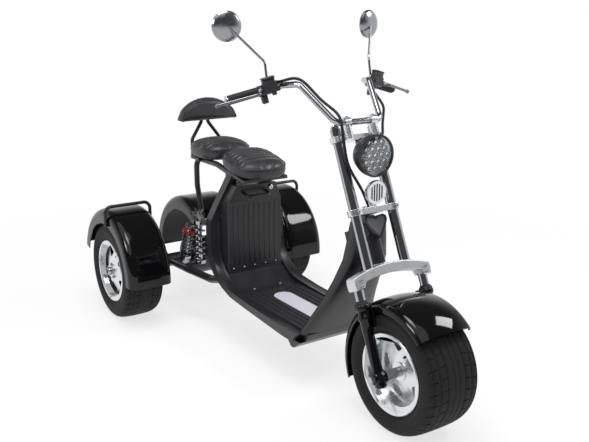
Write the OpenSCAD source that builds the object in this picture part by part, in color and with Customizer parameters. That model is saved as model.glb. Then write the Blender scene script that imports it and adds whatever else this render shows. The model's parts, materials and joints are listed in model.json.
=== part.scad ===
// Three-wheeled electric scooter: one steered wide wheel in front, two driven wheels behind.
// Millimetres. +X forward, +Y left, +Z up, ground at z = 0, origin under the middle of the box.

/* [Stance] */
// Distance between front and rear axles
wheelbase = 1520; // [1400:5:1650]
// Distance between the rear wheel centres
rear_track = 814; // [780:2:880]
// Fork angle back from upright in degrees
rake = 24; // [20:0.5:28]
// Steering axis behind the plane of the fork tubes
steer_back = 52; // [46:1:60]

/* [Wheels] */
// Front tyre outside diameter
front_tyre_d = 434; // [424:2:444]
// Front tyre width
front_tyre_w = 225; // [205:1:228]
// Rear tyre outside diameter
rear_tyre_d = 448; // [436:2:460]
// Rear tyre width
rear_tyre_w = 184; // [170:1:188]
// Rim flange diameter
rim_d = 286; // [280:1:292]
// Windows between the spokes
window_n = 5; // [4:1:7]

/* [Fork and bars] */
// Half distance between the upper fork tubes
upper_half = 82; // [78:1:88]
// Half distance between the lower fork legs
leg_half = 143; // [141:1:150]
// Upper fork tube diameter
upper_d = 37; // [32:0.5:40]
// Lower slider diameter
slider_d = 33; // [28:0.5:36]
// Leg casting diameter
leg_d = 46; // [42:1:48]
// Fork tube top above the axle, along the fork
fork_len = 850; // [800:5:900]
// Handlebar tube diameter
bar_d = 22; // [20:0.5:25.4]
// Handlebar end from the middle plane
bar_end_y = 372; // [340:2:400]

/* [Body] */
// Foot deck height of the floor
deck_z = 220; // [200:2:240]
// Foot deck half width
deck_half = 185; // [170:1:200]
// Battery width
battery_w = 270; // [250:2:280]
// Driver seat length
driver_len = 258; // [230:2:290]
// Pillion seat length
pillion_len = 262; // [230:2:290]
// Seat width
seat_w = 250; // [220:2:280]
// Radius of the rear side fenders
fender_r = 290; // [275:1:305]
// Radius of the middle fender
mid_fender_r = 294; // [280:1:305]

/* [Hidden] */
$fn = 64;
// Fit between a pin and its bore, radial
fit = 0.05;
// Seat gap between formed pieces
seam = 0.3;
// Bend size and lap into a bend, shares of the bar diameter
swell_share = 1.02;
lap_share = 0.04;
// Turn of a bar's seam line away from its bends, degrees
seam_turn = 37;
// Waist of a yoke and of its stem boss, shares of their round ends
yoke_web_share = 0.8;
// Wall of the formed sheet pieces
sheet = 4;

front_r = front_tyre_d / 2;
rear_r = rear_tyre_d / 2;
rear_half = rear_track / 2;
mid_fender_back = 26;
origin_x = (wheelbase + front_r - mid_fender_back - mid_fender_r) / 2;

// Rim and tyre sizes
rim_r = rim_d / 2;
flange_t = 6;
flange_h = 16;
barrel_t = 12;
seat_r = rim_r - flange_h;
barrel_r = seat_r - barrel_t;
front_rim_w = 204;
rear_rim_w = 170;
hub_r = 38;
hub_half = 58;
axle_d = 17;
axle_gap = 1;
nut_d = 28;
spoke_rim_half = 26;
window_round = 12;
window_step = 7;
rear_dish = 22;
disc_r = 88;
disc_t = 4;
disc_boss = 12;
carrier_r = 46;

// Tyre section, shares of half the tread width and of the section height from the seat up
tyre_section_shares = [
    // half width share, height share
    [0.86, 0.20], [0.95, 0.36], [1.00, 0.52], [0.985, 0.70],
    [0.93, 0.83], [0.82, 0.92], [0.62, 0.975], [0.34, 0.995], [0, 1],
];

// Fork and steering sizes, s along the fork from the axle
bridge_s = 344;
bridge_h = 44;
bridge_depth = 52;
bridge_end = 166;
bridge_rise = 28;
bridge_boss_h = 30;
// Arch thickness at the middle and height of its end blocks, shares of the bridge height
bridge_mid_share = 0.80;
bridge_steps = 8;
// Half width share where the end blocks start
bridge_block_share = 0.74;
yoke_s = 553;
yoke_h = 22;
yoke_r = 26;
top_yoke_s = 812;
top_yoke_h = 20;
head_gap = 3;
head_d = 62;
stem_d = 32;
stem_boss_r = 36;
leg_top_s = 246;
leg_foot_s = 34;
leg_lug_w = 20;
slider_low_s = 190;
upper_low_s = 335;
tube_cap_h = 10;
tube_cap_d = 30;
bar_fwd = 36;
bar_s = 862;
riser_half = 57;
riser_d = 30;
riser_w = 26;
riser_clamp_d = 38;

// Handlebar corners from the clamp, back, out and up
bar_clamp_y = 96;
bar_top_back = 145;
bar_top_y = 154;
bar_top_up = 124;
bar_mid_back = 213;
bar_mid_y = 185;
bar_mid_up = 116;
bar_end_back = 268;
bar_end_up = 68;
bar_bend = 34;
grip_d = 34;
grip_len = 122;
// Plain neck of the grip beside the switch block
grip_neck_d = 32;
grip_neck_len = 12;

// Controls inboard of each grip, and the levers
control_len = 44;
control_d = 38;
cylinder_d = 24;
cylinder_len = 66;
cylinder_fwd = 27;
tank_l = 50;
tank_w = 29;
tank_h = 26;
banjo = 14;
banjo_drop = 21;
lever_d = 11;
lever_fwd = 62;
lever_len = 150;
lever_tip_d = 16;

// Mirrors
mirror_r = 54;
mirror_t = 20;
mirror_stem_d = 9;
mirror_kink_back = 16;
mirror_kink_up = 76;
mirror_head_back = 122;
mirror_head_out = 88;
mirror_toe = 13;
glass_t = 3;
glass_share = 0.92;
// Mirror shell: radius share, depth share
mirror_shares = [[0, -0.5], [0.5, -0.42], [0.85, -0.1], [1, 0.3], [1, 0.5], [0, 0.5]];
mirror_head_up = 196;

// Lamp and horn
lamp_r = 73;
lamp_depth = 70;
// Lamp shell: radius share, share of the depth behind the rim
lamp_shares = [[0, 1], [0.6, 1], [0.78, 0.86], [0.93, 0.52], [1, 0.3], [1, 0]];
lamp_fwd = 86;
lamp_s = 724;
lamp_lug_fwd = 8;
lens_t = 12;
lens_gap = 4;
led_r = 11;
led_t = 3;
led_pitch = 25;
led_rows = [3, 4, 5, 4, 3];
horn_r = 43;
horn_t = 34;
horn_fwd = 40;
horn_s = 606;
slot_n = 5;
slot_w = 6;
slot_pitch = 11;
slot_depth = 5;
// Horn shell: radius share, share of the depth behind the face, and the grille's share of the face
horn_shares = [[0, 1], [0.5, 1], [0.9, 0.6], [1, 0.3], [0.95, 0], [0, 0]];
grille_share = 0.72;

// Loom on the right and brake hose on the left: shares of the reach forward, aside and along the fork
hose_d = 11;
hose_sides = 8;
hose_steps = 4;
hose_fwd = 100;
hose_side = 222;
hose_along = 1044;
loom_shares = [
    [-0.928, 0.883, 1.0178], [-0.317, 0.703, 1.0034], [0.114, 0.536, 0.9154], [0.570, 0.430, 0.8466],
    [0.580, 0.441, 0.7858], [0.380, 0.414, 0.6895], [0.325, 0.279, 0.6163], [0.020, 0.135, 0.5960],
];
loom_end = [-14, 8];
brake_shares = [
    [-0.946, 0.955, 0.9504], [-0.287, 0.802, 0.8880], [0.033, 0.631, 0.8450], [0.400, 0.428, 0.8035],
    [0.662, 0.280, 0.7665], [0.450, 0.216, 0.7550],
];
brake_end_fwd = 20;
brake_end_s = 786;

// Front fender
front_fender_gap = 20;
front_fender_half = 115;
front_fender_crown = 16;
front_fender_lip = 14;
fender_tab = 60;
front_fender_from = 48;
front_fender_to = 204;

// Deck, neck and box
// Deck front behind the front axle
deck_setback = 410;
deck_front_x = wheelbase - deck_setback;
deck_t = 42;
panel_t = 42;
deck_half_in = deck_half - panel_t;
ramp_x = 620;
ramp_mid_x = 545;
ramp_mid_h = 18;
toe_back = 120;
toe_x = deck_front_x - toe_back;
toe_short = 68;
toe_front_x = deck_front_x - toe_short;
toe_h = 35;
toe_half = 168;
mat_t = 5;
plate_t = 3;
plate_rear_x = 720;
plate_gap = 90;
plate_len = deck_front_x - plate_gap - plate_rear_x;
plate_half = 42;
neck_rise = 456;
neck_run = 197;
neck_half = 163;
neck_depth = 55;
neck_points = 32;
neck_square = 3.5;

// Neck sections: height share, forward share, half width share, depth share
neck_shares = [
    [0.00, 0.00, 1.00, 1.00],
    [0.17, 0.225, 0.86, 0.98],
    [0.34, 0.445, 0.72, 0.97],
    [0.52, 0.665, 0.625, 1.00],
    [0.70, 0.88, 0.545, 1.16],
    [0.85, 0.945, 0.47, 1.31],
    [0.95, 0.98, 0.42, 1.42],
    [1.00, 1.00, 0.39, 1.47],
];
web_half = 26;
web_back = 112;
cowl_front = 55;
cowl_half = 46;
cowl_back = 8;
// Heart outline of the head cover: half width share, height share of the head tube
cowl_shares = [[0, 0.50], [0.40, 0.62], [0.80, 0.76], [1.00, 0.86], [0.96, 0.94], [0.70, 0.98], [0.30,
    0.97], [0, 0.93]];

battery_front_x = 486;
battery_depth = 90;
battery_low_z = 278;
battery_shoulder_z = 592;
battery_top_z = 668;
battery_slope = 20;
battery_top_share = 0.72;
battery_heel_h = 110;
battery_heel = 64;
handle_d = 14;
handle_reach = 30;

// Side rail outline from the deck front back and up to the seat:
// forward share of rail_run, up share of rail_rise
rail_x = 380;
rail_z = 186;
// Rail front behind the deck front
rail_short = 14;
rail_run = deck_front_x - rail_short - rail_x;
rail_rise = 390;
rail_bend_z = 505;
rail_top_half = 129;
rail_top_z = 630;
rail_lean = 25;
rail_front_shares = [
    [0.982, 0.082], [0.451, 0.121], [0.293, 0.146], [0.210, 0.195], [0.137, 0.280], [0.089, 0.395],
    [0.066, 0.549], [0.061, 0.710], [0.064, 0.856], [0.074, 1.000],
];
rail_back_shares = [
    [0.013, 1.000], [0.003, 0.856], [0.000, 0.710], [0.003, 0.515], [0.019, 0.400], [0.043, 0.300],
    [0.078, 0.236], [0.122, 0.182], [0.182, 0.128], [0.281, 0.072], [0.447, 0.046], [0.848, 0.000],
        [0.945, 0.000],
];

// Seats
driver_x = 486;
driver_z = 722;
seat_side_h = 62;
seat_tilt = 0.16;
// Cushion layers: outline share, height share of the side
pad_shares = [[0.90, 0], [0.98, 0.18], [1, 0.5], [0.98, 0.82], [0.9, 1.0], [0.72, 1.16], [0.4, 1.30]];
pad_points = 32;
pad_square = 3;
pillion_x = 182;
pillion_z = 742;
back_x = 66;
back_z = 898;
back_half = 152;
back_h = 100;
back_t = 44;
back_steps = 8;
back_round = 0.6;

// Rear running gear
seat_tube_d = 25;
seat_tube_y = 82;
hoop_x = 104;
pan_front = 96;
pan_back = 90;
pan_half = 108;
pan_t = 12;
hoop_mid_z = 600;
hoop_foot_x = 150;
hoop_foot_z = 500;
back_tube_d = 16;
back_tube_y = 72;
back_tube_gap = 20;
stay_t = 5;
stay_arm = 34;
stay_hub_r = 52;
stay_from = 24;
stay_to = 142;
caliper_l = 64;
caliper_h = 42;
caliper_w = 30;
caliper_gap = 3;
caliper_r = 64;
housing_d = 62;
motor_d = 176;
motor_w = 190;
spindle_d = 20;
frame_d = 34;
shock_y = 132;
shock_x = 209;
shock_top_z = 462;
shock_low_z = 257;
shock_end_h = 16;
upper_tube_z = 484;
lower_tube_y = 196;
lug_l = 36;
lug_h = 14;
// Leaning shocks: lower and upper eye
lean_y = 147;
lean_low_x = 76;
lean_low_z = 232;
lean_top_x = 146;
lean_top_z = 425;
eye_d = 24;
eye_w = 36;
eye_gap = 26;
lean_plate_t = 8;
lean_plate_h = 28;
collar_d = 60;
collar_h = 12;
coil_r = 24;
coil_wire = 8;
coil_turns = 6;
coil_steps = 12;
coil_sides = 6;
fender_half = 100;
fender_from = -2;
fender_to = 165;
mid_from = 50;
mid_to = 184;
fender_steps = 4;
tail_angle = 150;
fender_rail_gap = 24;
fender_rail_drop = 88;
front_fender_steps = 5;
fender_shoulder = 34;
fender_skirt = 30;
tail_w = 110;
tail_h = 56;
tail_t = 24;
rail_d = 15;
fender_rail_x = 46;

function unit(v) = v / norm(v);
function flip(p) = [p[0], -p[1], p[2]];
function turn_at(route, i) = acos(max(-1, min(1,
    unit(route[i] - route[i - 1]) * unit(route[i + 1] - route[i]))));

// Everything is laid out from the rear axle, then moved to the shared origin
module at_rear() {
    translate([-origin_x, 0, 0])
    children();
}

// Fork frame: origin at the front axle, z along the fork, x square to it and forward
module at_fork() {
    at_rear()
    translate([wheelbase, 0, front_r])
    rotate([0, -rake, 0])
    children();
}

module both_sides() {
    children();
    mirror([0, 1, 0])
    children();
}

module along(p, d) {
    translate(p)
    rotate([0, acos(max(-1, min(1, unit(d)[2]))), atan2(d[1], d[0])])
    children();
}

// Round bar along a route of corners, each corner a torus a little over the bar's size
module bent_rod(route, dia, bend) {
    last = len(route) - 1;
    lap = dia * lap_share;
    for (i = [0 : last - 1]) {
        d = unit(route[i + 1] - route[i]);
        cut_a = i == 0 ? 0 : bend * tan(turn_at(route, i) / 2) - lap;
        cut_b = i == last - 1 ? 0 : bend * tan(turn_at(route, i + 1) / 2) - lap;
        along(route[i] + d * cut_a, d)
        rotate(seam_turn)
        cylinder(h = norm(route[i + 1] - route[i]) - cut_a - cut_b, d = dia);
    }
    if (last > 1)
    for (i = [1 : last - 1]) {
        u = unit(route[i] - route[i - 1]);
        t = turn_at(route, i);
        n = unit(cross(u, unit(route[i + 1] - route[i])));
        x = -cross(n, u);
        c = route[i] - u * bend * tan(t / 2) - x * bend;
        multmatrix([[x[0], u[0], n[0], c[0]], [x[1], u[1], n[1], c[1]], [x[2], u[2], n[2], c[2]], [0, 0,
            0, 1]])
        rotate_extrude(angle = t)
        translate([bend, 0])
        circle(d = dia * swell_share);
    }
}

// Closed skin over rings of equal count, each ring a flat loop
module loft(rings) {
    n = len(rings[0]);
    m = len(rings);
    points = [for (r = rings) for (p = r) p];
    sides = [for (i = [0 : m - 2]) for (j = [0 : n - 1])
        let (a = i * n + j, b = i * n + (j + 1) % n)
        each [[a, a + n, b], [b, a + n, b + n]]];
    polyhedron(points, concat([[for (j = [0 : n - 1]) j]], sides,
        [[for (j = [n - 1 : -1 : 0]) (m - 1) * n + j]]));
}

function power(v, p) = sign(v) * pow(abs(v), p);
// Rounded square loop in a plane of height z
function pad_ring(cx, half_x, half_y, z, tilt, steps, square) = [for (i = [0 : steps - 1])
    let (a = 360 * i / steps, x = half_x * power(cos(a), 2 / square), y = half_y * power(sin(a), 2 / square))
    [cx + x, y, z - tilt * x]];

// Wheel parts, axis along Y, u outward
module tyre(r, w, rim_w) {
    half = rim_w / 2 - flange_t - seam;
    h = r - seat_r - seam;
    side = [for (p = tyre_section_shares) [seat_r + seam + h * p[1], w / 2 * p[0]]];
    low = [[seat_r + seam, half], [rim_r + seam, half]];
    upper = concat(low, side);
    lower = [for (i = [len(upper) - 2 : -1 : 0]) [upper[i][0], -upper[i][1]]];
    rotate([90, 0, 0])
    rotate_extrude()
    polygon(concat(upper, lower));
}

// Corner cut round on a loop of points
function rounded(loop, r, steps) = [for (i = [0 : len(loop) - 1])
    let (p = loop[i], a = unit(loop[(i + len(loop) - 1) % len(loop)] - p),
        b = unit(loop[(i + 1) % len(loop)] - p),
        half = acos(a * b) / 2, c = p + unit(a + b) * r / sin(half), q = p + a * r / tan(half),
        start = atan2(q[1] - c[1], q[0] - c[0]), swing = (180 - 2 * half) * sign(a[0] * b[1] - a[1] * b[0]))
    each [for (k = [0 : steps]) c + r * [cos(start - swing * k / steps), sin(start - swing * k / steps)]]];

module window_face(grow) {
    pitch = 180 / window_n;
    in_r = hub_r + window_round - grow;
    out_r = barrel_r - window_round / 2 + grow;
    wide = pitch - asin((window_round - grow) / out_r) - asin(window_round / out_r);
    loop = concat([[in_r + window_round, 0]],
        [for (k = [-1, 0, 1]) out_r * [cos(wide * k), -sin(wide * k)]]);
    polygon(rounded(loop, window_round + grow / 2, 4));
}

module wheel_rim(rim_w, dish, bore_d) {
    half = rim_w / 2;
    rotate([90, 0, 0])
    difference() {
        union() {
            rotate_extrude()
            polygon([[barrel_r, -half], [rim_r - flange_t / 2, -half], [rim_r, -half + flange_t / 2],
                [rim_r, -half + flange_t], [seat_r, -half + flange_t], [seat_r, half - flange_t],
                [rim_r, half - flange_t], [rim_r, half - flange_t / 2], [rim_r - flange_t / 2, half],
                [barrel_r, half]]);
            translate([0, 0, -dish])
            rotate_extrude()
            polygon([[0, -hub_half + window_step], [hub_r, -hub_half + window_step],
                [barrel_r + barrel_t / 2, -spoke_rim_half], [barrel_r + barrel_t / 2, spoke_rim_half],
                [hub_r, hub_half - window_step], [0, hub_half - window_step]]);
            translate([0, 0, -dish])
            cylinder(h = 2 * hub_half, r = hub_r - window_step, center = true);
        }
        translate([0, 0, -half])
        cylinder(h = 2 * half, d = bore_d);
        for (i = [0 : window_n - 1])
        rotate([0, 0, 360 * (i + 0.5) / window_n]) {
            translate([0, 0, -half])
            linear_extrude(2 * half)
            window_face(0);
        }
    }
}

// Brake disc on a short boss that meets the hub end, axis along Y
module brake_disc(bore_d, boss) {
    rotate([90, 0, 0])
    difference() {
        union() {
            cylinder(h = disc_t, r = disc_r, center = true);
            translate([0, 0, -disc_t / 2])
            cylinder(h = boss + disc_t / 2, r = carrier_r);
        }
        translate([0, 0, -disc_r])
        cylinder(h = 2 * disc_r, d = bore_d);
    }
}

front_disc_y = hub_half + disc_boss;
rear_disc_y = rear_half + rear_dish - hub_half - disc_boss;

module front_disc() {
    color("gray")
    at_rear()
    translate([wheelbase, front_disc_y, front_r])
    brake_disc(axle_d + 2 * fit, disc_boss);
}

module rear_disc(side) {
    color("gray")
    at_rear()
    translate([0, side * rear_disc_y, rear_r])
    mirror([0, side > 0 ? 1 : 0, 0])
    brake_disc(spindle_d + 2 * fit, disc_boss);
}

module front_rim() {
    color("silver")
    at_rear()
    translate([wheelbase, 0, front_r])
    wheel_rim(front_rim_w, 0, axle_d + 2 * fit);
}

module front_tyre() {
    color("black")
    at_rear()
    translate([wheelbase, 0, front_r])
    tyre(front_r, front_tyre_w, front_rim_w);
}

module rear_rim(side) {
    color("silver")
    at_rear()
    translate([0, side * rear_half, rear_r])
    mirror([0, side > 0 ? 0 : 1, 0])
    wheel_rim(rear_rim_w, rear_dish, spindle_d + 2 * fit);
}

module rear_tyre(side) {
    color("black")
    at_rear()
    translate([0, side * rear_half, rear_r])
    tyre(rear_r, rear_tyre_w, rear_rim_w);
}

module front_axle() {
    leg_in = leg_half - leg_d / 2;
    left_in = hub_half + disc_boss + disc_t / 2;
    color("gray")
    at_rear()
    translate([wheelbase, 0, front_r])
    rotate([90, 0, 0]) {
        cylinder(h = 2 * (leg_half + leg_d / 2 + axle_d), d = axle_d, center = true);
        translate([0, 0, hub_half + axle_gap])
        cylinder(h = leg_in - hub_half - axle_gap, d = 2 * axle_d);
        translate([0, 0, -leg_in])
        cylinder(h = leg_in - left_in - axle_gap, d = 2 * axle_d);
        for (s = [-1, 1])
        translate([0, 0, s * (leg_half + leg_d / 2 + axle_d / 2)])
        cylinder(h = axle_d, d = nut_d, center = true, $fn = 6);
    }
}

module fork_legs() {
    color("black")
    at_fork()
    both_sides()
    translate([0, leg_half, 0])
    difference() {
        union() {
            translate([0, 0, -leg_foot_s])
            cylinder(h = leg_foot_s + leg_top_s, d = leg_d);
            translate([0, 0, leg_top_s - leg_lug_w])
            cylinder(h = leg_lug_w, d = leg_d + flange_t);
            rotate([90, 0, 0])
            cylinder(h = leg_d, d = leg_d, center = true);
        }
        translate([0, 0, slider_low_s])
        cylinder(h = leg_top_s, d = slider_d + 2 * fit);
        rotate([90, 0, 0])
        cylinder(h = 2 * leg_d, d = axle_d + 2 * fit, center = true);
    }
}

module fork_tubes() {
    color("silver")
    at_fork()
    both_sides() {
        translate([0, upper_half, upper_low_s])
        cylinder(h = fork_len - upper_low_s, d = upper_d);
        translate([0, upper_half, fork_len])
        cylinder(h = tube_cap_h, d = tube_cap_d);
        translate([0, leg_half, slider_low_s])
        cylinder(h = bridge_s + bridge_h / 2 - slider_low_s, d = slider_d);
    }
}

// Arched casting that widens the fork from the upper tubes to the legs
module fork_bridge() {
    n = bridge_steps;
    block = bridge_block_share;
    arch = [for (k = [-n : n]) let (q = k / n) [bridge_end * q, bridge_rise * (1 - q * q)]];
    mid = [for (k = [n : -1 : -n]) let (q = block * k / n, h = bridge_h * bridge_mid_share)
        [bridge_end * q, bridge_rise * (1 - pow(k / n,
            2)) + bridge_rise * (1 - block * block) * pow(k / n, 2) - h]];
    low = concat([[bridge_end, -bridge_h], [bridge_end * block,
        -bridge_h + bridge_rise * (1 - block * block) / 2]],
        mid, [[-bridge_end * block, -bridge_h + bridge_rise * (1 - block * block) / 2], [-bridge_end,
            -bridge_h]]);
    color("lightgray")
    at_fork()
    translate([0, 0, bridge_s + bridge_h / 2 - bridge_rise])
    difference() {
        union() {
            translate([-bridge_depth / 2, 0, 0])
            rotate([90, 0, 90])
            linear_extrude(bridge_depth)
            polygon(concat(arch, low));
            translate([-steer_back, 0, bridge_rise - bridge_boss_h])
            cylinder(h = bridge_boss_h, r = stem_boss_r);
            translate([-steer_back, -stem_boss_r, bridge_rise - bridge_boss_h])
            cube([steer_back, 2 * stem_boss_r, bridge_boss_h]);
        }
        for (s = [-1, 1]) {
            translate([0, s * leg_half, -2 * bridge_h])
            cylinder(h = 4 * bridge_h, d = slider_d + 2 * fit);
            translate([0, s * upper_half, upper_low_s - bridge_s - bridge_h / 2 + bridge_rise])
            cylinder(h = 2 * bridge_h, d = upper_d + 2 * fit);
        }
        translate([-steer_back, 0, -2 * bridge_h])
        cylinder(h = 4 * bridge_h, d = stem_d + 2 * fit);
    }
}

module yoke_face(r) {
    for (s = [-1, 1])
    translate([0, s * upper_half])
    circle(r = r);
    translate([-r * yoke_web_share, -upper_half])
    square([2 * r * yoke_web_share, 2 * upper_half]);
}

module lower_yoke() {
    stem_low = bridge_s - bridge_h / 4;
    color("silver")
    at_fork() {
        difference() {
            translate([0, 0, yoke_s - yoke_h / 2])
            linear_extrude(yoke_h)
            union() {
                yoke_face(yoke_r);
                translate([-steer_back, 0])
                circle(r = stem_boss_r * yoke_web_share);
                translate([-steer_back, -stem_boss_r * yoke_web_share])
                square([steer_back, 2 * stem_boss_r * yoke_web_share]);
            }
            for (s = [-1, 1])
            translate([0, s * upper_half, yoke_s - yoke_h])
            cylinder(h = 2 * yoke_h, d = upper_d + 2 * fit);
        }
        translate([-steer_back, 0, stem_low])
        cylinder(h = yoke_s + yoke_h - stem_low, d = stem_d);
    }
}

module top_yoke() {
    color("silver")
    at_fork()
    difference() {
        union() {
            translate([0, 0, top_yoke_s - top_yoke_h / 2])
            linear_extrude(top_yoke_h)
            union() {
                yoke_face(yoke_r);
                for (s = [-1, 1])
                translate([bar_fwd, s * riser_half])
                circle(d = riser_d);
                for (s = [-1, 1])
                translate([0, s * riser_half - riser_d / 2])
                square([bar_fwd, riser_d]);
            }
            for (s = [-1, 1]) {
                translate([bar_fwd, s * riser_half, top_yoke_s])
                cylinder(h = bar_s - top_yoke_s, d = riser_d);
                translate([bar_fwd, s * riser_half, bar_s])
                rotate([90, 0, 0])
                cylinder(h = riser_w, d = riser_clamp_d, center = true);
            }
        }
        for (s = [-1, 1])
        translate([0, s * upper_half, top_yoke_s - top_yoke_h])
        cylinder(h = 2 * top_yoke_h, d = upper_d + 2 * fit);
        translate([bar_fwd, 0, bar_s])
        rotate([90, 0, 0])
        cylinder(h = 2 * (riser_half + riser_w), d = bar_d + 2 * fit, center = true);
    }
}

// Handlebar corners in the rear-axle layout
clamp_x = wheelbase + bar_fwd * cos(rake) - bar_s * sin(rake);
clamp_z = front_r + bar_fwd * sin(rake) + bar_s * cos(rake);
bar_half = [
    [clamp_x, bar_clamp_y, clamp_z],
    [clamp_x - bar_top_back, bar_top_y, clamp_z + bar_top_up],
    [clamp_x - bar_mid_back, bar_mid_y, clamp_z + bar_mid_up],
    [clamp_x - bar_end_back, bar_end_y, clamp_z + bar_end_up],
];
grip_dir = unit(bar_half[3] - bar_half[2]);

module handlebar() {
    color("silver")
    at_rear()
    bent_rod(concat([for (i = [3 : -1 : 0]) flip(bar_half[i])], bar_half), bar_d, bar_bend);
}

module grips() {
    color("black")
    at_rear()
    both_sides()
    along(bar_half[3] - grip_dir * grip_len, grip_dir)
    difference() {
        union() {
            cylinder(h = grip_len - flange_t, d = grip_neck_d);
            translate([0, 0, grip_neck_len])
            cylinder(h = grip_len - grip_neck_len - flange_t, d = grip_d);
        }
        translate([0, 0, -grip_len])
        cylinder(h = 3 * grip_len, d = bar_d + 2 * fit);
    }
}

// Brake master cylinder, fluid tank and switch block round the bar, inboard of each grip
bar_ahead = unit([grip_dir[1], -grip_dir[0], 0]);
bar_up = cross(bar_ahead, grip_dir);
control_at = bar_half[3] - grip_dir * (grip_len + control_len);
cylinder_at = control_at + bar_ahead * cylinder_fwd;

module bar_block(p, l, w, h) {
    x = bar_ahead;
    y = grip_dir;
    z = bar_up;
    multmatrix([[x[0], y[0], z[0], p[0]], [x[1], y[1], z[1], p[1]], [x[2], y[2], z[2], p[2]], [0, 0, 0, 1]])
    translate([-w / 2, -l / 2, 0])
    cube([w, l, h]);
}

module controls() {
    color("dimgray")
    at_rear()
    both_sides()
    difference() {
        union() {
            along(control_at, grip_dir)
            cylinder(h = control_len, d = control_d);
            along(cylinder_at - grip_dir * (cylinder_len - control_len), grip_dir)
            rotate(seam_turn)
            cylinder(h = cylinder_len, d = cylinder_d);
            bar_block(cylinder_at + grip_dir * (control_len - tank_l / 2 - flange_t) - bar_up * tank_w / 8,
                tank_l, tank_w, tank_h);
            bar_block(cylinder_at - bar_up * banjo_drop, banjo, banjo, banjo_drop);
        }
        along(control_at - grip_dir * grip_len, grip_dir)
        cylinder(h = 3 * grip_len, d = bar_d + 2 * fit);
    }
}

module levers() {
    root = cylinder_at + grip_dir * control_len;
    knee = root + bar_ahead * (lever_fwd - cylinder_fwd) + grip_dir * lever_tip_d;
    tip = knee + grip_dir * lever_len - bar_ahead * lever_tip_d;
    color("silver")
    at_rear()
    both_sides() {
        difference() {
            bent_rod([root, knee, tip], lever_d, lever_d * 2);
            along(cylinder_at, grip_dir)
            rotate(seam_turn)
            cylinder(h = control_len + fit, d = cylinder_d + 2 * fit);
        }
        translate(tip)
        sphere(d = lever_tip_d);
    }
}

mirror_base = control_at + grip_dir * control_len / 4 + bar_up * (control_d - flange_t) / 2;
mirror_kink = mirror_base + [-mirror_kink_back, 0, mirror_kink_up];
mirror_head = mirror_base + [-mirror_head_back, mirror_head_out, mirror_head_up];

// Points of a smooth run through the corners of a route
function run_point(route, i, t) = let (a = route[max(i - 1, 0)], b = route[i], c = route[i + 1],
    d = route[min(i + 2, len(route) - 1)])
    (2 * b + (c - a) * t + (2 * a - 5 * b + 4 * c - d) * t * t + (3 * b - a - 3 * c + d) * t * t * t) / 2;
function run(route) = concat([for (i = [0 : len(route) - 2]) for (k = [0 : hose_steps - 1])
    run_point(route, i, k / hose_steps)], [route[len(route) - 1]]);
function fork_point(q) = [wheelbase + q[0] * cos(rake) - q[2] * sin(rake), q[1],
    front_r + q[0] * sin(rake) + q[2] * cos(rake)];

// Round hose along a route, with square ends along the given directions
module hose(route, from, to) {
    path = run(route);
    last = len(path) - 1;
    rings = [for (i = [0 : last])
        let (d = i == 0 ? from : i == last ? to : unit(path[i + 1] - path[i - 1]),
            x = unit(cross(d, bar_ahead + bar_up / 2)), y = cross(d, x))
        [for (k = [0 : hose_sides - 1])
            path[i] + hose_d / 2 * (x * cos(360 * k / hose_sides) + y * sin(360 * k / hose_sides))]];
    loft(rings);
}

module hoses() {
    scale_in = [hose_fwd, hose_side, hose_along];
    down = unit(fork_point([0, 0, -1]) - fork_point([0, 0, 0]));
    loom_at = control_at + bar_up * (bar_d + hose_d + flange_t) / 2;
    loom = concat([loom_at, loom_at - grip_dir * hose_d], [for (q = loom_shares)
        fork_point([q[0] * scale_in[0], q[1] * scale_in[1], q[2] * scale_in[2]])],
        [fork_point([loom_end[0], loom_end[1], yoke_s + yoke_h / 2 + hose_d]),
        fork_point([loom_end[0], loom_end[1], yoke_s + yoke_h / 2 + seam])]);
    brake_at = cylinder_at - bar_up * banjo_drop;
    brake = concat([brake_at, brake_at - bar_up * hose_d], [for (q = brake_shares)
        fork_point([q[0] * scale_in[0], q[1] * scale_in[1], q[2] * scale_in[2]])],
        [fork_point([brake_end_fwd, riser_d / 2 + hose_d, brake_end_s]), fork_point([brake_end_fwd,
            riser_d / 2, brake_end_s])]);
    color("black")
    at_rear() {
        mirror([0, 1, 0])
        hose(loom, -grip_dir, down);
        hose(brake, -bar_up, [0, -1, 0]);
    }
}

module mirrors() {
    color("silver")
    at_rear()
    both_sides() {
        difference() {
            bent_rod([mirror_base, mirror_kink, mirror_head + [mirror_t / 4, 0, 0]], mirror_stem_d,
                3 * mirror_stem_d);
            along(control_at, grip_dir)
            cylinder(h = control_len, d = control_d + 2 * fit);
        }
        translate(mirror_head)
        rotate([0, -90, mirror_toe])
        rotate_extrude()
        polygon([for (q = mirror_shares) [mirror_r * q[0], mirror_t * q[1]]]);
    }
}

module mirror_glasses() {
    color("lightblue")
    at_rear()
    both_sides()
    translate(mirror_head)
    rotate([0, -90, mirror_toe])
    translate([0, 0, mirror_t / 2])
    cylinder(h = glass_t, r = mirror_r * glass_share);
}

lamp_x = wheelbase + lamp_fwd * cos(rake) - lamp_s * sin(rake);
lamp_z = front_r + lamp_fwd * sin(rake) + lamp_s * cos(rake);
module headlamp() {
    color("black") {
        at_rear()
        translate([lamp_x, 0, lamp_z])
        rotate([0, 90, 0])
        rotate_extrude()
        polygon(concat([for (q = lamp_shares) [lamp_r * q[0], -lamp_depth * q[1]]], [[lamp_r - flange_t, 0],
            [lamp_r - flange_t, -lens_t - lens_gap], [0, -lens_t - lens_gap]]));
        at_fork()
        translate([lamp_lug_fwd, -riser_d / 2, lamp_s])
        cube([bar_fwd, riser_d, top_yoke_s - top_yoke_h / 2 - lamp_s]);
    }
}

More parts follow.
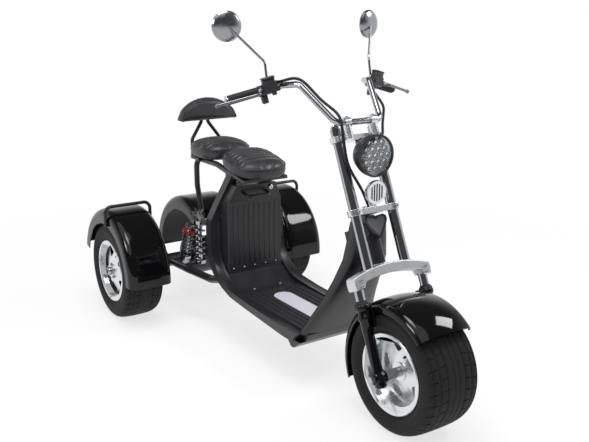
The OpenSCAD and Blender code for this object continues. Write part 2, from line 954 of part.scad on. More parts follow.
module headlamp_lens() {
    color("white")
    at_rear()
    translate([lamp_x - lens_t - lens_gap, 0, lamp_z])
    rotate([0, 90, 0]) {
        cylinder(h = lens_t, r = lamp_r - flange_t - seam);
        for (i = [0 : len(led_rows) - 1])
        for (j = [0 : led_rows[i] - 1])
        translate([(i - (len(led_rows) - 1) / 2) * led_pitch * cos(30),
            (j - (led_rows[i] - 1) / 2) * led_pitch, 0])
        cylinder(h = lens_t + led_t, r = led_r);
    }
}

horn_x = wheelbase + horn_fwd * cos(rake) - horn_s * sin(rake);
horn_z = front_r + horn_fwd * sin(rake) + horn_s * cos(rake);
module horn() {
    color("silver") {
        at_rear()
        translate([horn_x, 0, horn_z])
        rotate([0, 90, 0])
        difference() {
            rotate_extrude()
            polygon([for (q = horn_shares) [horn_r * q[0], -horn_t * q[1]]]);
            translate([0, 0, -slot_depth])
            linear_extrude(2 * slot_depth)
            intersection() {
                circle(r = horn_r * grille_share);
                for (i = [0 : slot_n - 1])
                translate([-horn_r, (i - (slot_n - 1) / 2) * slot_pitch - slot_w / 2])
                square([2 * horn_r, slot_w]);
            }
        }
        at_fork()
        translate([0, -riser_d / 2, yoke_s + yoke_h / 2])
        cube([sheet, riser_d, horn_s - yoke_s]);
    }
}

module arc_shell(profile, from, to) {
    rotate([90, 0, 0])
    rotate_extrude(angle = to - from, start = from)
    polygon(profile);
}

module front_fender() {
    r = front_r + front_fender_gap;
    half = front_fender_half;
    crown = front_fender_crown;
    lip = front_fender_lip;
    leg_in = leg_half - leg_d / 2;
    n = front_fender_steps;
    outer = [for (k = [-n : n]) let (q = k / n) [r + crown * (1 - pow(q, 4)) + sheet, half * q]];
    inner = [for (k = [n : -1 : -n]) let (q = k / n) [r + crown * (1 - pow(q, 4)), (half - sheet) * q]];
    color("black") {
        at_rear()
        translate([wheelbase, 0, front_r])
        arc_shell(concat([[r - lip, -half]], outer, [[r - lip, half], [r - lip, half - sheet]], inner,
            [[r - lip, sheet - half]]),
            front_fender_from, front_fender_to);
        at_fork()
        both_sides()
        difference() {
            translate([-fender_tab / 2, half - sheet / 2, r - lip])
            cube([fender_tab, leg_in - half + sheet / 2, lip + sheet]);
            translate([0, leg_half, 0])
            cylinder(h = fork_len, d = leg_d + flange_t + 2 * fit);
        }
    }
}

// Chassis pieces
module at_steer() {
    at_fork()
    translate([-steer_back, 0, 0])
    children();
}
head_low = bridge_s + bridge_h / 2 + head_gap;
head_high = yoke_s - yoke_h / 2 - head_gap;

module head_tube() {
    color("dimgray")
    at_steer()
    difference() {
        union() {
            translate([0, 0, head_low])
            cylinder(h = head_high - head_low, d = head_d);
            translate([-web_back, -web_half, head_low])
            cube([web_back, 2 * web_half, head_high - head_low - head_d / 2]);
        }
        translate([0, 0, head_low - head_d])
        cylinder(h = head_high, d = stem_d + 2 * fit);
    }
}

module neck_solid() {
    rings = [for (q = neck_shares)
        let (z = deck_z + neck_rise * q[0], x = deck_front_x + neck_run * q[1], depth = neck_depth * q[3] / 2)
        pad_ring(x - depth, depth, neck_half * q[2], z, 0, neck_points, neck_square)];
    at_rear()
    loft(rings);
}

module neck_shell() {
    color("black")
    difference() {
        neck_solid();
        at_steer()
        cylinder(h = fork_len, d = head_d + 2 * fit);
        at_steer()
        translate([-web_back, -web_half - fit, 0])
        cube([web_back, 2 * web_half + 2 * fit, head_high - head_d / 2 + fit]);
    }
}

module neck_cowl() {
    h = head_high - head_low;
    right = [for (q = cowl_shares) [cowl_half * q[0], head_low + h * q[1]]];
    left = [for (i = [len(right) - 2 : -1 : 1]) [-right[i][0], right[i][1]]];
    color("dimgray")
    difference() {
        at_steer()
        translate([cowl_back, 0, 0])
        rotate([90, 0, 90])
        linear_extrude(cowl_front - cowl_back)
        polygon(concat(right, left));
        at_steer()
        cylinder(h = fork_len, d = head_d + 2 * fit);
        neck_solid();
    }
}

// Floor with the ramp up to the battery and the toe under the neck
module deck_frame() {
    low = deck_z - deck_t;
    color("black")
    at_rear() {
        translate([0, deck_half_in, 0])
        rotate([90, 0, 0])
        linear_extrude(2 * deck_half_in)
        polygon([[battery_front_x - battery_depth + battery_heel, battery_low_z], [battery_front_x,
            battery_low_z],
            [ramp_mid_x, deck_z + ramp_mid_h], [ramp_x, deck_z], [deck_front_x, deck_z],
            [deck_front_x - deck_t / 2, rail_z], [toe_x, rail_z], [ramp_x, low + deck_t / 3], [ramp_mid_x,
                deck_z]]);
        translate([0, toe_half, 0])
        rotate([90, 0, 0])
        linear_extrude(2 * toe_half)
        polygon([[toe_x, rail_z], [deck_front_x - deck_t / 2, rail_z], [toe_front_x, rail_z - toe_h],
            [toe_x + toe_h, rail_z - toe_h]]);
    }
}

module deck_mat() {
    x1 = deck_front_x - neck_depth - mat_t;
    half = deck_half_in - mat_t;
    color("black")
    at_rear()
    translate([ramp_x, -half, deck_z])
    cube([x1 - ramp_x, 2 * half, mat_t]);
}

module deck_plate() {
    color("lightgray")
    at_rear()
    translate([plate_rear_x, 0, deck_z + mat_t]) {
        translate([0, -plate_half, 0])
        cube([plate_len, 2 * plate_half, plate_t]);
        cylinder(h = plate_t, r = plate_half);
    }
}

module side_rails() {
    a = [seat_tube_front, seat_tube_y, pan_z(seat_tube_front) - seat_tube_drop];
    b = [seat_tube_meet, seat_tube_y, pillion_z - seat_tube_d / 2];
    color("black")
    at_rear()
    difference() {
        rail_solid();
        both_sides()
        along(a, b - a)
        cylinder(h = norm(b - a), d = seat_tube_d + 2 * fit);
    }
}

module battery_case() {
    x1 = battery_front_x;
    x0 = x1 - battery_depth;
    half = battery_w / 2;
    lean = battery_slope;
    color("black")
    at_rear()
    difference() {
        intersection() {
            translate([0, half, 0])
            rotate([90, 0, 0])
            linear_extrude(battery_w)
            polygon([[x0 + battery_heel, battery_low_z], [x1, battery_low_z], [x1, battery_shoulder_z],
                [x1 + lean, battery_top_z], [x0 + lean, battery_top_z], [x0, battery_shoulder_z],
                [x0, battery_low_z + battery_heel_h]]);
            rotate([90, 0, 90])
            linear_extrude(wheelbase)
            polygon([[-half, battery_low_z], [half, battery_low_z], [half, battery_shoulder_z],
                [half * battery_top_share, battery_top_z], [-half * battery_top_share, battery_top_z],
                [-half, battery_shoulder_z]]);
        }
        rail_solid();
    }
}

module battery_handle() {
    up = [battery_slope, 0, battery_top_z - battery_shoulder_z];
    out = unit([up[2], 0, -up[0]]) * handle_reach;
    base = [battery_front_x, 0, battery_shoulder_z] + up * 0.5;
    y = [0, battery_w / 5, 0];
    color("dimgray")
    at_rear()
    bent_rod([base - y, base - y + out, base + y + out, base + y], handle_d, handle_d);
}

module pad(cx, half_x, half_y, z, tilt) {
    rings = [for (q = pad_shares)
        pad_ring(cx, half_x * q[0], half_y * q[0], z + seat_side_h * q[1], tilt, pad_points, pad_square)];
    loft(rings);
}

module driver_seat() {
    color("black")
    at_rear()
    pad(driver_x, driver_len / 2, seat_w / 2, driver_z, seat_tilt);
}

module pillion_seat() {
    color("black")
    at_rear()
    pad(pillion_x, pillion_len / 2, seat_w / 2, pillion_z, 0);
}

module backrest_pad() {
    n = back_steps;
    arch = [for (k = [-n : n]) let (q = k / n) [back_half * q, back_h * pow(1 - q * q, back_round)]];
    color("black")
    at_rear()
    translate([back_x - back_t / 2, 0, back_z])
    rotate([90, 0, 90])
    linear_extrude(back_t)
    polygon(concat([[-back_half, -mat_t]], arch, [[back_half, -mat_t]]));
}

module backrest_frame() {
    back = back_x - back_t / 2 - back_tube_d / 2 - seam;
    low_z = pillion_z - back_tube_d / 2;
    in_y = seat_tube_y + (seat_tube_d + back_tube_d) / 2 + fit;
    color("black")
    at_rear()
    both_sides()
    bent_rod([[pillion_x, in_y, low_z], [hoop_x, in_y, low_z], [back_x - back_tube_gap, back_tube_y, low_z],
        [back_x - back_tube_gap, back_tube_y, pillion_z + seat_side_h], [back, back_tube_d,
            back_z - back_tube_d],
        [back, back_tube_d, back_z + back_h / 2]], back_tube_d, back_tube_d * 2);
}

function pan_z(x) = driver_z - seat_tilt * (x - driver_x);
// Seat tube below the pan: its drop, its front end and where it meets the level of the pillion
seat_tube_drop = pan_t + seat_tube_d / 2 - pan_t / 4;
seat_tube_front = driver_x + pan_front - 2 * seat_tube_d;
seat_tube_meet = driver_x - (pillion_z - seat_tube_d / 2 - driver_z + seat_tube_drop) / seat_tilt;

hoop_mid = [hoop_x, seat_tube_y, hoop_mid_z];
hoop_foot = [hoop_foot_x, seat_tube_y, hoop_foot_z - 2 * seat_tube_d];

// Pan under the driver seat between the rails,
// and the tubes back under the pillion and down to the middle fender
module seat_frame() {
    front = driver_x + pan_front;
    back = driver_x - pan_back;
    color("black")
    at_rear()
    difference() {
        union() {
            translate([0, pan_half, 0])
            rotate([90, 0, 0])
            linear_extrude(2 * pan_half)
            polygon([[back, pan_z(back)], [front, pan_z(front)], [front, pan_z(front) - pan_t], [back,
                pan_z(back) - pan_t]]);
            both_sides()
            bent_rod([[seat_tube_front, seat_tube_y, pan_z(seat_tube_front) - seat_tube_drop],
                [seat_tube_meet, seat_tube_y, pillion_z - seat_tube_d / 2],
                [hoop_x, seat_tube_y, pillion_z - seat_tube_d / 2], hoop_mid, hoop_foot], seat_tube_d,
                    seat_tube_d * 2);
        }
        translate([-mid_fender_back, 0, rear_r])
        rotate([90, 0, 0])
        cylinder(h = rear_half, r = mid_fender_r + seam, center = true, $fn = 180);
    }
}

// Rail outline seen from the side, cut by its outline seen from the front where it closes in under the seat
module rail_solid() {
    front = [for (q = rail_front_shares) [rail_x + rail_run * q[0], rail_z + rail_rise * q[1]]];
    back = [for (q = rail_back_shares) [rail_x + rail_run * q[0], rail_z + rail_rise * q[1]]];
    front_end = [front[len(front) - 1][0] + rail_lean,
        pan_z(front[len(front) - 1][0] + rail_lean) - seat_tube_drop];
    back_end = [back[0][0] + rail_lean, pan_z(back[0][0] + rail_lean) - seat_tube_drop];
    top_z = driver_z;
    top_y = rail_top_half - (top_z - rail_top_z) * (deck_half - rail_top_half) / (rail_top_z - rail_bend_z);
    both_sides()
    intersection() {
        translate([0, deck_half, 0])
        rotate([90, 0, 0])
        linear_extrude(deck_half)
        polygon(concat(front, [front_end, back_end], back));
        rotate([90, 0, 90])
        linear_extrude(wheelbase)
        polygon([[deck_half_in, 0], [deck_half, 0], [deck_half, rail_bend_z], [top_y, top_z],
            [top_y - panel_t, top_z], [deck_half_in, rail_bend_z]]);
    }
}

// Lower and upper tubes behind the rails with the shock lugs
module rear_frame() {
    mid_y = deck_half - panel_t / 2;
    hoop_meet = (hoop_mid[2] - upper_tube_z) / (hoop_mid[2] - hoop_foot[2]);
    lug_in = shock_y - lug_l / 2;
    color("black")
    at_rear()
    difference() {
        both_sides() {
            bent_rod([[battery_front_x, mid_y, battery_low_z - frame_d / 2], [rail_x, mid_y,
                deck_z + frame_d / 3],
                [shock_x, lower_tube_y, deck_z + frame_d / 2], [0, lower_tube_y, rear_r]], frame_d,
                    2 * frame_d);
            translate([shock_x - lug_l / 2, lug_in, shock_low_z - lug_h])
            cube([lug_l, lower_tube_y - lug_in, lug_h]);
            bent_rod([[rail_x + frame_d / 2, mid_y, upper_tube_z], [shock_x + 3 * frame_d, mid_y,
                upper_tube_z],
                [shock_x, shock_y, upper_tube_z], hoop_mid + (hoop_foot - hoop_mid) * hoop_meet],
                    seat_tube_d, 2 * seat_tube_d);
            translate([shock_x - lug_l / 2, lug_in, shock_top_z])
            cube([lug_l, lug_l, upper_tube_z - shock_top_z]);
            translate([lean_top_x - lean_plate_h / 2, lean_y - eye_w / 2 - lean_plate_t,
                lean_top_z - eye_d / 2])
            cube([lean_plate_h, lean_plate_t, upper_tube_z - lean_top_z + eye_d / 2]);
        }
        rail_solid();
        both_sides()
        along(hoop_mid, hoop_foot - hoop_mid)
        cylinder(h = norm(hoop_foot - hoop_mid), d = seat_tube_d + 2 * fit);
        translate([0, 0, rear_r])
        rotate([90, 0, 0])
        cylinder(h = 2 * rear_half, d = housing_d + 2 * fit, center = true);
    }
}

module axle_housing() {
    inner = rear_disc_y - disc_t / 2 - axle_gap;
    color("dimgray")
    at_rear()
    translate([0, 0, rear_r])
    rotate([90, 0, 0]) {
        cylinder(h = 2 * inner, d = housing_d, center = true);
        cylinder(h = 2 * (rear_half + rear_dish + hub_half + spindle_d), d = spindle_d, center = true);
        cylinder(h = motor_w, d = motor_d, center = true);
        for (s = [-1, 1])
        translate([0, -lean_plate_h / 2, s * (lean_y - eye_w / 2 - lean_plate_t / 2) - lean_plate_t / 2])
        cube([lean_low_x + eye_d / 2, lean_plate_h, lean_plate_t]);
    }
}

module shock_dampers() {
    h = shock_top_z - shock_low_z;
    color("silver")
    at_rear()
    both_sides() {
        translate([shock_x, shock_y, shock_low_z]) {
            cylinder(h = h, d = coil_r);
            cylinder(h = shock_end_h, d = 2 * coil_r + coil_wire);
            translate([0, 0, h - shock_end_h])
            cylinder(h = shock_end_h, d = 2 * coil_r + coil_wire);
        }
        at_lean() {
            for (z = [0, lean_len])
            translate([0, 0, z])
            rotate([90, 0, 0])
            cylinder(h = eye_w, d = eye_d, center = true);
            cylinder(h = lean_len, d = coil_r * yoke_web_share);
            translate([0, 0, eye_gap])
            cylinder(h = shock_end_h, d = 2 * coil_r + coil_wire);
            translate([0, 0, lean_len - eye_gap - collar_h])
            cylinder(h = collar_h, d = coil_r + coil_wire);
        }
    }
}

// Leaning shock frame: origin at the lower eye, z along the shock
lean_len = norm([lean_top_x - lean_low_x, lean_top_z - lean_low_z]);
module at_lean() {
    translate([lean_low_x, lean_y, lean_low_z])
    rotate([0, atan2(lean_top_x - lean_low_x, lean_top_z - lean_low_z), 0])
    children();
}

module shock_collars() {
    color("red")
    at_rear()
    both_sides()
    at_lean()
    translate([0, 0, lean_len - eye_gap - collar_h])
    difference() {
        cylinder(h = collar_h, d = collar_d);
        translate([0, 0, -collar_h])
        cylinder(h = 3 * collar_h, d = coil_r + coil_wire + 2 * fit);
    }
}

module coil(height) {
    rings = coil_turns * coil_steps;
    points = [for (i = [0 : rings]) for (j = [0 : coil_sides - 1])
        let (a = 360 * i / coil_steps, q = 360 * j / coil_sides, r = coil_r + coil_wire / 2 * cos(q))
        [r * cos(a), r * sin(a), height * i / rings + coil_wire / 2 * sin(q)]];
    n = coil_sides;
    sides = [for (i = [0 : rings - 1]) for (j = [0 : n - 1])
        let (a = i * n + j, b = i * n + (j + 1) % n)
        each [[a, a + n, b], [b, a + n, b + n]]];
    polyhedron(points, concat([[for (j = [0 : n - 1]) j]], sides,
        [[for (j = [n - 1 : -1 : 0]) rings * n + j]]));
}

module shock_springs() {
    low = shock_low_z + shock_end_h + coil_wire / 2 + fit;
    lean_low = eye_gap + shock_end_h + coil_wire / 2 + fit;
    color("silver")
    at_rear()
    both_sides() {
        translate([shock_x, shock_y, low])
        coil(shock_top_z - shock_end_h - coil_wire / 2 - fit - low);
        at_lean()
        translate([0, 0, lean_low])
        coil(lean_len - eye_gap - collar_h - coil_wire / 2 - fit - lean_low);
    }
}

module fender_section(r, half, from, to) {
    sh = fender_shoulder;
    n = fender_steps;
    outer = [for (k = [0 : n]) let (a = 90 - 90 * k / n) [r - sh + sh * cos(a), half - sh + sh * sin(a)]];
    inner = [for (k = [n : -1 : 0]) let (a = 90 - 90 * k / n)
        [r - sh + (sh - sheet) * cos(a), half - sh + (sh - sheet) * sin(a)]];
    out_all = concat([[r - sh - fender_skirt, half]], outer);
    in_all = concat(inner, [[r - sh - fender_skirt, half - sheet]]);
    arc_shell(concat(out_all, [for (i = [len(out_all) - 1 : -1 : 0]) [out_all[i][0], -out_all[i][1]]],
        [for (i = [len(in_all) - 1 : -1 : 0]) [in_all[i][0], -in_all[i][1]]], in_all), from, to);
}

module rear_fenders() {
    color("black")
    at_rear()
    for (s = [-1, 1])
    translate([0, s * rear_half, rear_r])
    fender_section(fender_r, fender_half, fender_from, fender_to);
}

module mid_fender() {
    color("black")
    at_rear()
    translate([-mid_fender_back, 0, rear_r])
    fender_section(mid_fender_r, front_fender_half, mid_from, mid_to);
}

module tail_lamp() {
    color("red")
    at_rear()
    translate([-mid_fender_back, 0, rear_r])
    rotate([0, -tail_angle, 0])
    translate([mid_fender_r, -tail_w / 2, -tail_h / 2])
    cube([tail_t, tail_w, tail_h]);
}

// Plate on the housing end with two arms out to the fender's inner skirt
module fender_stays() {
    y = rear_half - fender_half - stay_t;
    reach = fender_r - fender_shoulder;
    color("black")
    at_rear()
    both_sides()
    translate([0, y + stay_t, rear_r])
    rotate([90, 0, 0])
    linear_extrude(stay_t)
    difference() {
        union() {
            circle(r = stay_hub_r);
            for (a = [stay_from, stay_to])
            rotate(a)
            translate([0, -stay_arm / 2])
            square([reach, stay_arm]);
        }
        circle(d = housing_d + 2 * fit);
    }
}

module caliper_block(arm) {
    translate([caliper_r, -caliper_l / 2, -caliper_w / 2])
    difference() {
        union() {
            cube([caliper_h, caliper_l, caliper_w]);
            translate([0, 0, caliper_w])
            cube([caliper_h, caliper_l / 2, arm]);
        }
        translate([-caliper_h, -caliper_l, caliper_w / 2 - disc_t / 2 - caliper_gap])
        cube([caliper_h + disc_r - caliper_r + caliper_gap, 3 * caliper_l, disc_t + 2 * caliper_gap]);
    }
}

module rear_calipers() {
    arm = rear_disc_y - rear_half + fender_half - caliper_w / 2;
    color("gray")
    at_rear()
    both_sides()
    translate([0, rear_disc_y, rear_r])
    rotate([90, 0, 0])
    rotate([0, 0, stay_from])
    caliper_block(arm);
}

module front_caliper() {
    arm = leg_half - leg_d / 2 - front_disc_y - caliper_w / 2;
    color("gray")
    at_rear()
    translate([wheelbase, front_disc_y, front_r])
    rotate([-90, 0, 0])
    rotate([0, 0, -90 - rake])
    caliper_block(arm);
}

module fender_rails() {
    top = fender_r + rear_r + fender_rail_gap;
    low = top - fender_rail_drop;
    in_y = rear_half - fender_half - rail_d / 2;
    out_y = rear_half + fender_half + rail_d / 2;
    color("black")
    at_rear()
    both_sides()
    bent_rod([[fender_rail_x, in_y, low], [fender_rail_x, in_y, top], [fender_rail_x, out_y, top],
        [fender_rail_x, out_y, low]], rail_d, rail_d * 2);
}

head_tube();
neck_shell();
neck_cowl();
deck_frame();
deck_mat();
deck_plate();
side_rails();
battery_case();
battery_handle();
driver_seat();
pillion_seat();
backrest_pad();
backrest_frame();
seat_frame();
rear_frame();
axle_housing();
shock_dampers();
shock_springs();
shock_collars();
mid_fender();
tail_lamp();
rear_fenders();
fender_stays();
fender_rails();
rear_calipers();
lower_yoke();
fork_bridge();
fork_tubes();
fork_legs();
top_yoke();
handlebar();
grips();
controls();
levers();
mirrors();
mirror_glasses();
hoses();
headlamp();
headlamp_lens();
horn();
front_fender();
front_axle();
front_caliper();
front_rim();
front_tyre();
front_disc();
rear_rim(1);  // rear_rim_left
rear_tyre(1);  // rear_tyre_left
rear_disc(1);  // rear_disc_left
rear_rim(-1);  // rear_rim_right
rear_tyre(-1);  // rear_tyre_right
rear_disc(-1);  // rear_disc_right
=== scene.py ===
"""Looks for a three-wheeled electric scooter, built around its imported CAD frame."""

import json
import math

import bpy
from bpy.props import FloatProperty, FloatVectorProperty, IntProperty, PointerProperty
from bpy.types import Operator, Panel, PropertyGroup
from mathutils import Matrix, Vector

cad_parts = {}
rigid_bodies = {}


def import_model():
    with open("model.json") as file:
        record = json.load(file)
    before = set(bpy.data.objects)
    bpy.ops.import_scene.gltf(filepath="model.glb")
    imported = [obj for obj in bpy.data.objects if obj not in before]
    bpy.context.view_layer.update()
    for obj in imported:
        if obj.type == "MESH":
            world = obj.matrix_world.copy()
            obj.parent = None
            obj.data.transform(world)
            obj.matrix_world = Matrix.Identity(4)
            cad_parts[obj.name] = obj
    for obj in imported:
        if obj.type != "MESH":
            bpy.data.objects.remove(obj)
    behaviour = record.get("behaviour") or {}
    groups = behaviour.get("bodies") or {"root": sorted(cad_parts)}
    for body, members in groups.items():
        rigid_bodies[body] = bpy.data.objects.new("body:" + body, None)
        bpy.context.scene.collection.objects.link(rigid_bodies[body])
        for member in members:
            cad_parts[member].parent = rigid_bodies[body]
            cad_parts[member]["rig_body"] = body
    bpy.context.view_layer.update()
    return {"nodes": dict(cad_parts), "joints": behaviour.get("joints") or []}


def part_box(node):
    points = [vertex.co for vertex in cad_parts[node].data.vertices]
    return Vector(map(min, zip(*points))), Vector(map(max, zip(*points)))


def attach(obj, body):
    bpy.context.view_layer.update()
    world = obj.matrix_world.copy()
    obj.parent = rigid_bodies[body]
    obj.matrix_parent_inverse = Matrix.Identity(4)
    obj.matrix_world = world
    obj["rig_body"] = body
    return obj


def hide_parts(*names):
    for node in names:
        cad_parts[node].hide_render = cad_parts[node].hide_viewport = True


bl_info = {
    "name": "Electric Trike Scooter",
    "version": (1, 0, 0),
    "blender": (4, 5, 0),
    "location": "View3D > Sidebar > Scooter",
    "description": "Dresses the scooter's CAD frame with its wheels, castings, seats and lamps",
    "category": "Object",
}

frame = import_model()
MM = 0.001

# Sizes shared with the CAD frame, in millimetres
WHEELBASE = 1520
FRONT_RADIUS = 217
REAR_RADIUS = 224
FRONT_RIM_WIDTH = 204
REAR_RIM_WIDTH = 170
TUBE_Y = 82
LEG_Y = 143

# Places shared with the CAD frame, taken from its joints
JOINTS = {j["name"]: j for j in frame["joints"]}
FRONT_AXLE = Vector(JOINTS["front_spin"]["pos_m"])
REAR_LEFT = Vector(JOINTS["rear_left_spin"]["pos_m"])
REAR_RIGHT = Vector(JOINTS["rear_right_spin"]["pos_m"])
REAR_X = REAR_LEFT.x
STEER_AXIS = Vector(JOINTS["steer"]["axis"])
RAKE = math.atan2(-STEER_AXIS.x, STEER_AXIS.z)
FORK = Matrix.Translation(FRONT_AXLE) @ Matrix.Rotation(-RAKE, 4, "Y")
# Stands a lathe piece, whose axis is Y, up along Z
LATHE_UP = Matrix.Rotation(math.pi / 2, 4, "X")


def from_rear(x, y, z):
    """A point given in millimetres from the rear axle line on the ground."""
    return Vector((REAR_X + x * MM, y * MM, z * MM))


def from_fork(u, y, s):
    """A point given in millimetres ahead of, beside and along the fork from the front axle."""
    return FORK @ Vector((u * MM, y * MM, s * MM))


def on_fork(ahead, along):
    """A point ahead of and along the fork from the front axle, in millimetres from the rear axle."""
    c, s = math.cos(RAKE), math.sin(RAKE)
    return WHEELBASE + ahead * c - along * s, 0, FRONT_RADIUS + ahead * s + along * c


# Left half of the handlebar's line in millimetres from the rear axle, as the CAD frame has it
CLAMP = Vector(on_fork(36, 862))
BAR_END = CLAMP + Vector((-268, 372, 68))
BAR_MID = CLAMP + Vector((-213, 185, 116))
GRIP_DIR = (BAR_END - BAR_MID).normalized()
BAR_AHEAD = Vector((GRIP_DIR.y, -GRIP_DIR.x, 0)).normalized()
BAR_UP = BAR_AHEAD.cross(GRIP_DIR)


def mirrored(direction, side):
    """A direction on the rider's left, or its mirror image where side is -1."""
    return Vector((direction.x, direction.y * side, direction.z))


def on_bar(point, side):
    """A point on the left half of the bar, or its mirror image where side is -1."""
    return from_rear(point.x, point.y * side, point.z)


def linear(code):
    """An sRGB hex colour as the linear colour that a shader wants."""
    parts = [int(code[i : i + 2], 16) / 255 for i in (1, 3, 5)]
    return tuple(c / 12.92 if c <= 0.04045 else ((c + 0.055) / 1.055) ** 2.4 for c in parts) + (1.0,)


class ScooterSizes(PropertyGroup):
    """Sizes that a user would change."""

    casting_edge: FloatProperty(
        name="Casting edge",
        description="Rounding on the cast bridge and clamps",
        default=2.5 * MM,
        unit="LENGTH",
    )
    rail_edge: FloatProperty(
        name="Rail edge",
        description="Rounding along the frame rails",
        default=2 * MM,
        unit="LENGTH",
    )
    case_edge: FloatProperty(
        name="Case edge",
        description="Rounding on the battery case",
        default=2 * MM,
        unit="LENGTH",
    )
    sipe_depth: FloatProperty(
        name="Sipe depth",
        description="Depth of the cuts across the tread",
        default=2.5 * MM,
        unit="LENGTH",
    )
    sipe_count: IntProperty(
        name="Sipes",
        description="Cuts across the tread in one turn",
        default=34,
        min=12,
        max=60,
    )
    channel_depth: FloatProperty(
        name="Channel depth",
        description="Depth of the sewn channels in the seats",
        default=6 * MM,
        unit="LENGTH",
    )
    seat_swell: FloatProperty(
        name="Seat swell",
        description="Most that a cushion may swell from its cut shape",
        default=8 * MM,
        unit="LENGTH",
    )
    piping: FloatProperty(
        name="Piping",
        description="Diameter of the piping round the seats",
        default=6 * MM,
        unit="LENGTH",
    )
    rib_height: FloatProperty(
        name="Mat rib",
        description="Height of the ribs on the foot mat",
        default=3 * MM,
        unit="LENGTH",
    )


class ScooterColours(PropertyGroup):
    """Colours that a user would change."""

    gloss: FloatVectorProperty(
        name="Fender paint",
        description="Gloss paint on the fenders",
        subtype="COLOR",
        size=4,
        default=linear("#08080A"),
    )
    frame: FloatVectorProperty(
        name="Frame coat",
        description="Powder coat on the frame",
        subtype="COLOR",
        size=4,
        default=linear("#19191C"),
    )
    seat: FloatVectorProperty(
        name="Seat cover",
        description="Leatherette of the seats",
        subtype="COLOR",
        size=4,
        default=linear("#252528"),
    )
    plate: FloatVectorProperty(
        name="Deck plate",
        description="Pale plate set in the foot mat",
        subtype="COLOR",
        size=4,
        default=linear("#C9C7D0"),
    )
    collar: FloatVectorProperty(
        name="Spring collar",
        description="Paint on the spring collars",
        subtype="COLOR",
        size=4,
        default=linear("#8E1A17"),
    )


def sizes():
    return bpy.context.scene.scooter_sizes


def colours():
    return bpy.context.scene.scooter_colours


# Materials


def add(tree, kind, links=(), **settings):
    """Adds one node with its settings, and links each named input from an output socket."""
    node = tree.nodes.new(kind)
    for key, value in settings.items():
        if key in node.inputs:
            node.inputs[key].default_value = value
        else:
            setattr(node, key, value)
    for name, output in links:
        tree.links.new(node.inputs[name], output)
    return node


def surface(name, shade, tint, metallic, rough, spot_mm, grain_mm, depth_mm, **shader):
    """A material whose colour and roughness drift over spots, with a fine grain in its surface."""
    material = bpy.data.materials.new(name)
    material.use_nodes = True
    tree = material.node_tree
    tree.nodes.clear()
    place = add(tree, "ShaderNodeTexCoord").outputs["Object"]
    spots = add(
        tree,
        "ShaderNodeTexNoise",
        [("Vector", place)],
        Scale=1000 / spot_mm,
        Detail=4.0,
        Roughness=0.6,
    )
    colour = add(tree, "ShaderNodeMix", [("Factor", spots.outputs["Fac"])], data_type="RGBA")
    for socket, value in zip([s for s in colour.inputs if s.type == "RGBA"], (shade, tint)):
        socket.default_value = value
    wear = add(
        tree,
        "ShaderNodeMapRange",
        [("Value", spots.outputs["Fac"])],
        **{"From Min": 0.3, "From Max": 0.7, "To Min": rough[0], "To Max": rough[1]},
    )
    grain = add(tree, "ShaderNodeTexNoise", [("Vector", place)], Scale=1000 / grain_mm, Detail=3.0)
    bump = add(
        tree,
        "ShaderNodeBump",
        [("Height", grain.outputs["Fac"])],
        Strength=0.35,
        Distance=depth_mm * MM,
    )
    base = add(
        tree,
        "ShaderNodeBsdfPrincipled",
        [
            ("Base Color", [s for s in colour.outputs if s.type == "RGBA"][0]),
            ("Roughness", wear.outputs["Result"]),
            ("Normal", bump.outputs["Normal"]),
        ],
        Metallic=metallic,
        **shader,
    )
    add(tree, "ShaderNodeOutputMaterial", [("Surface", base.outputs["BSDF"])])
    return material, tree, base, bump


FINISH = {}


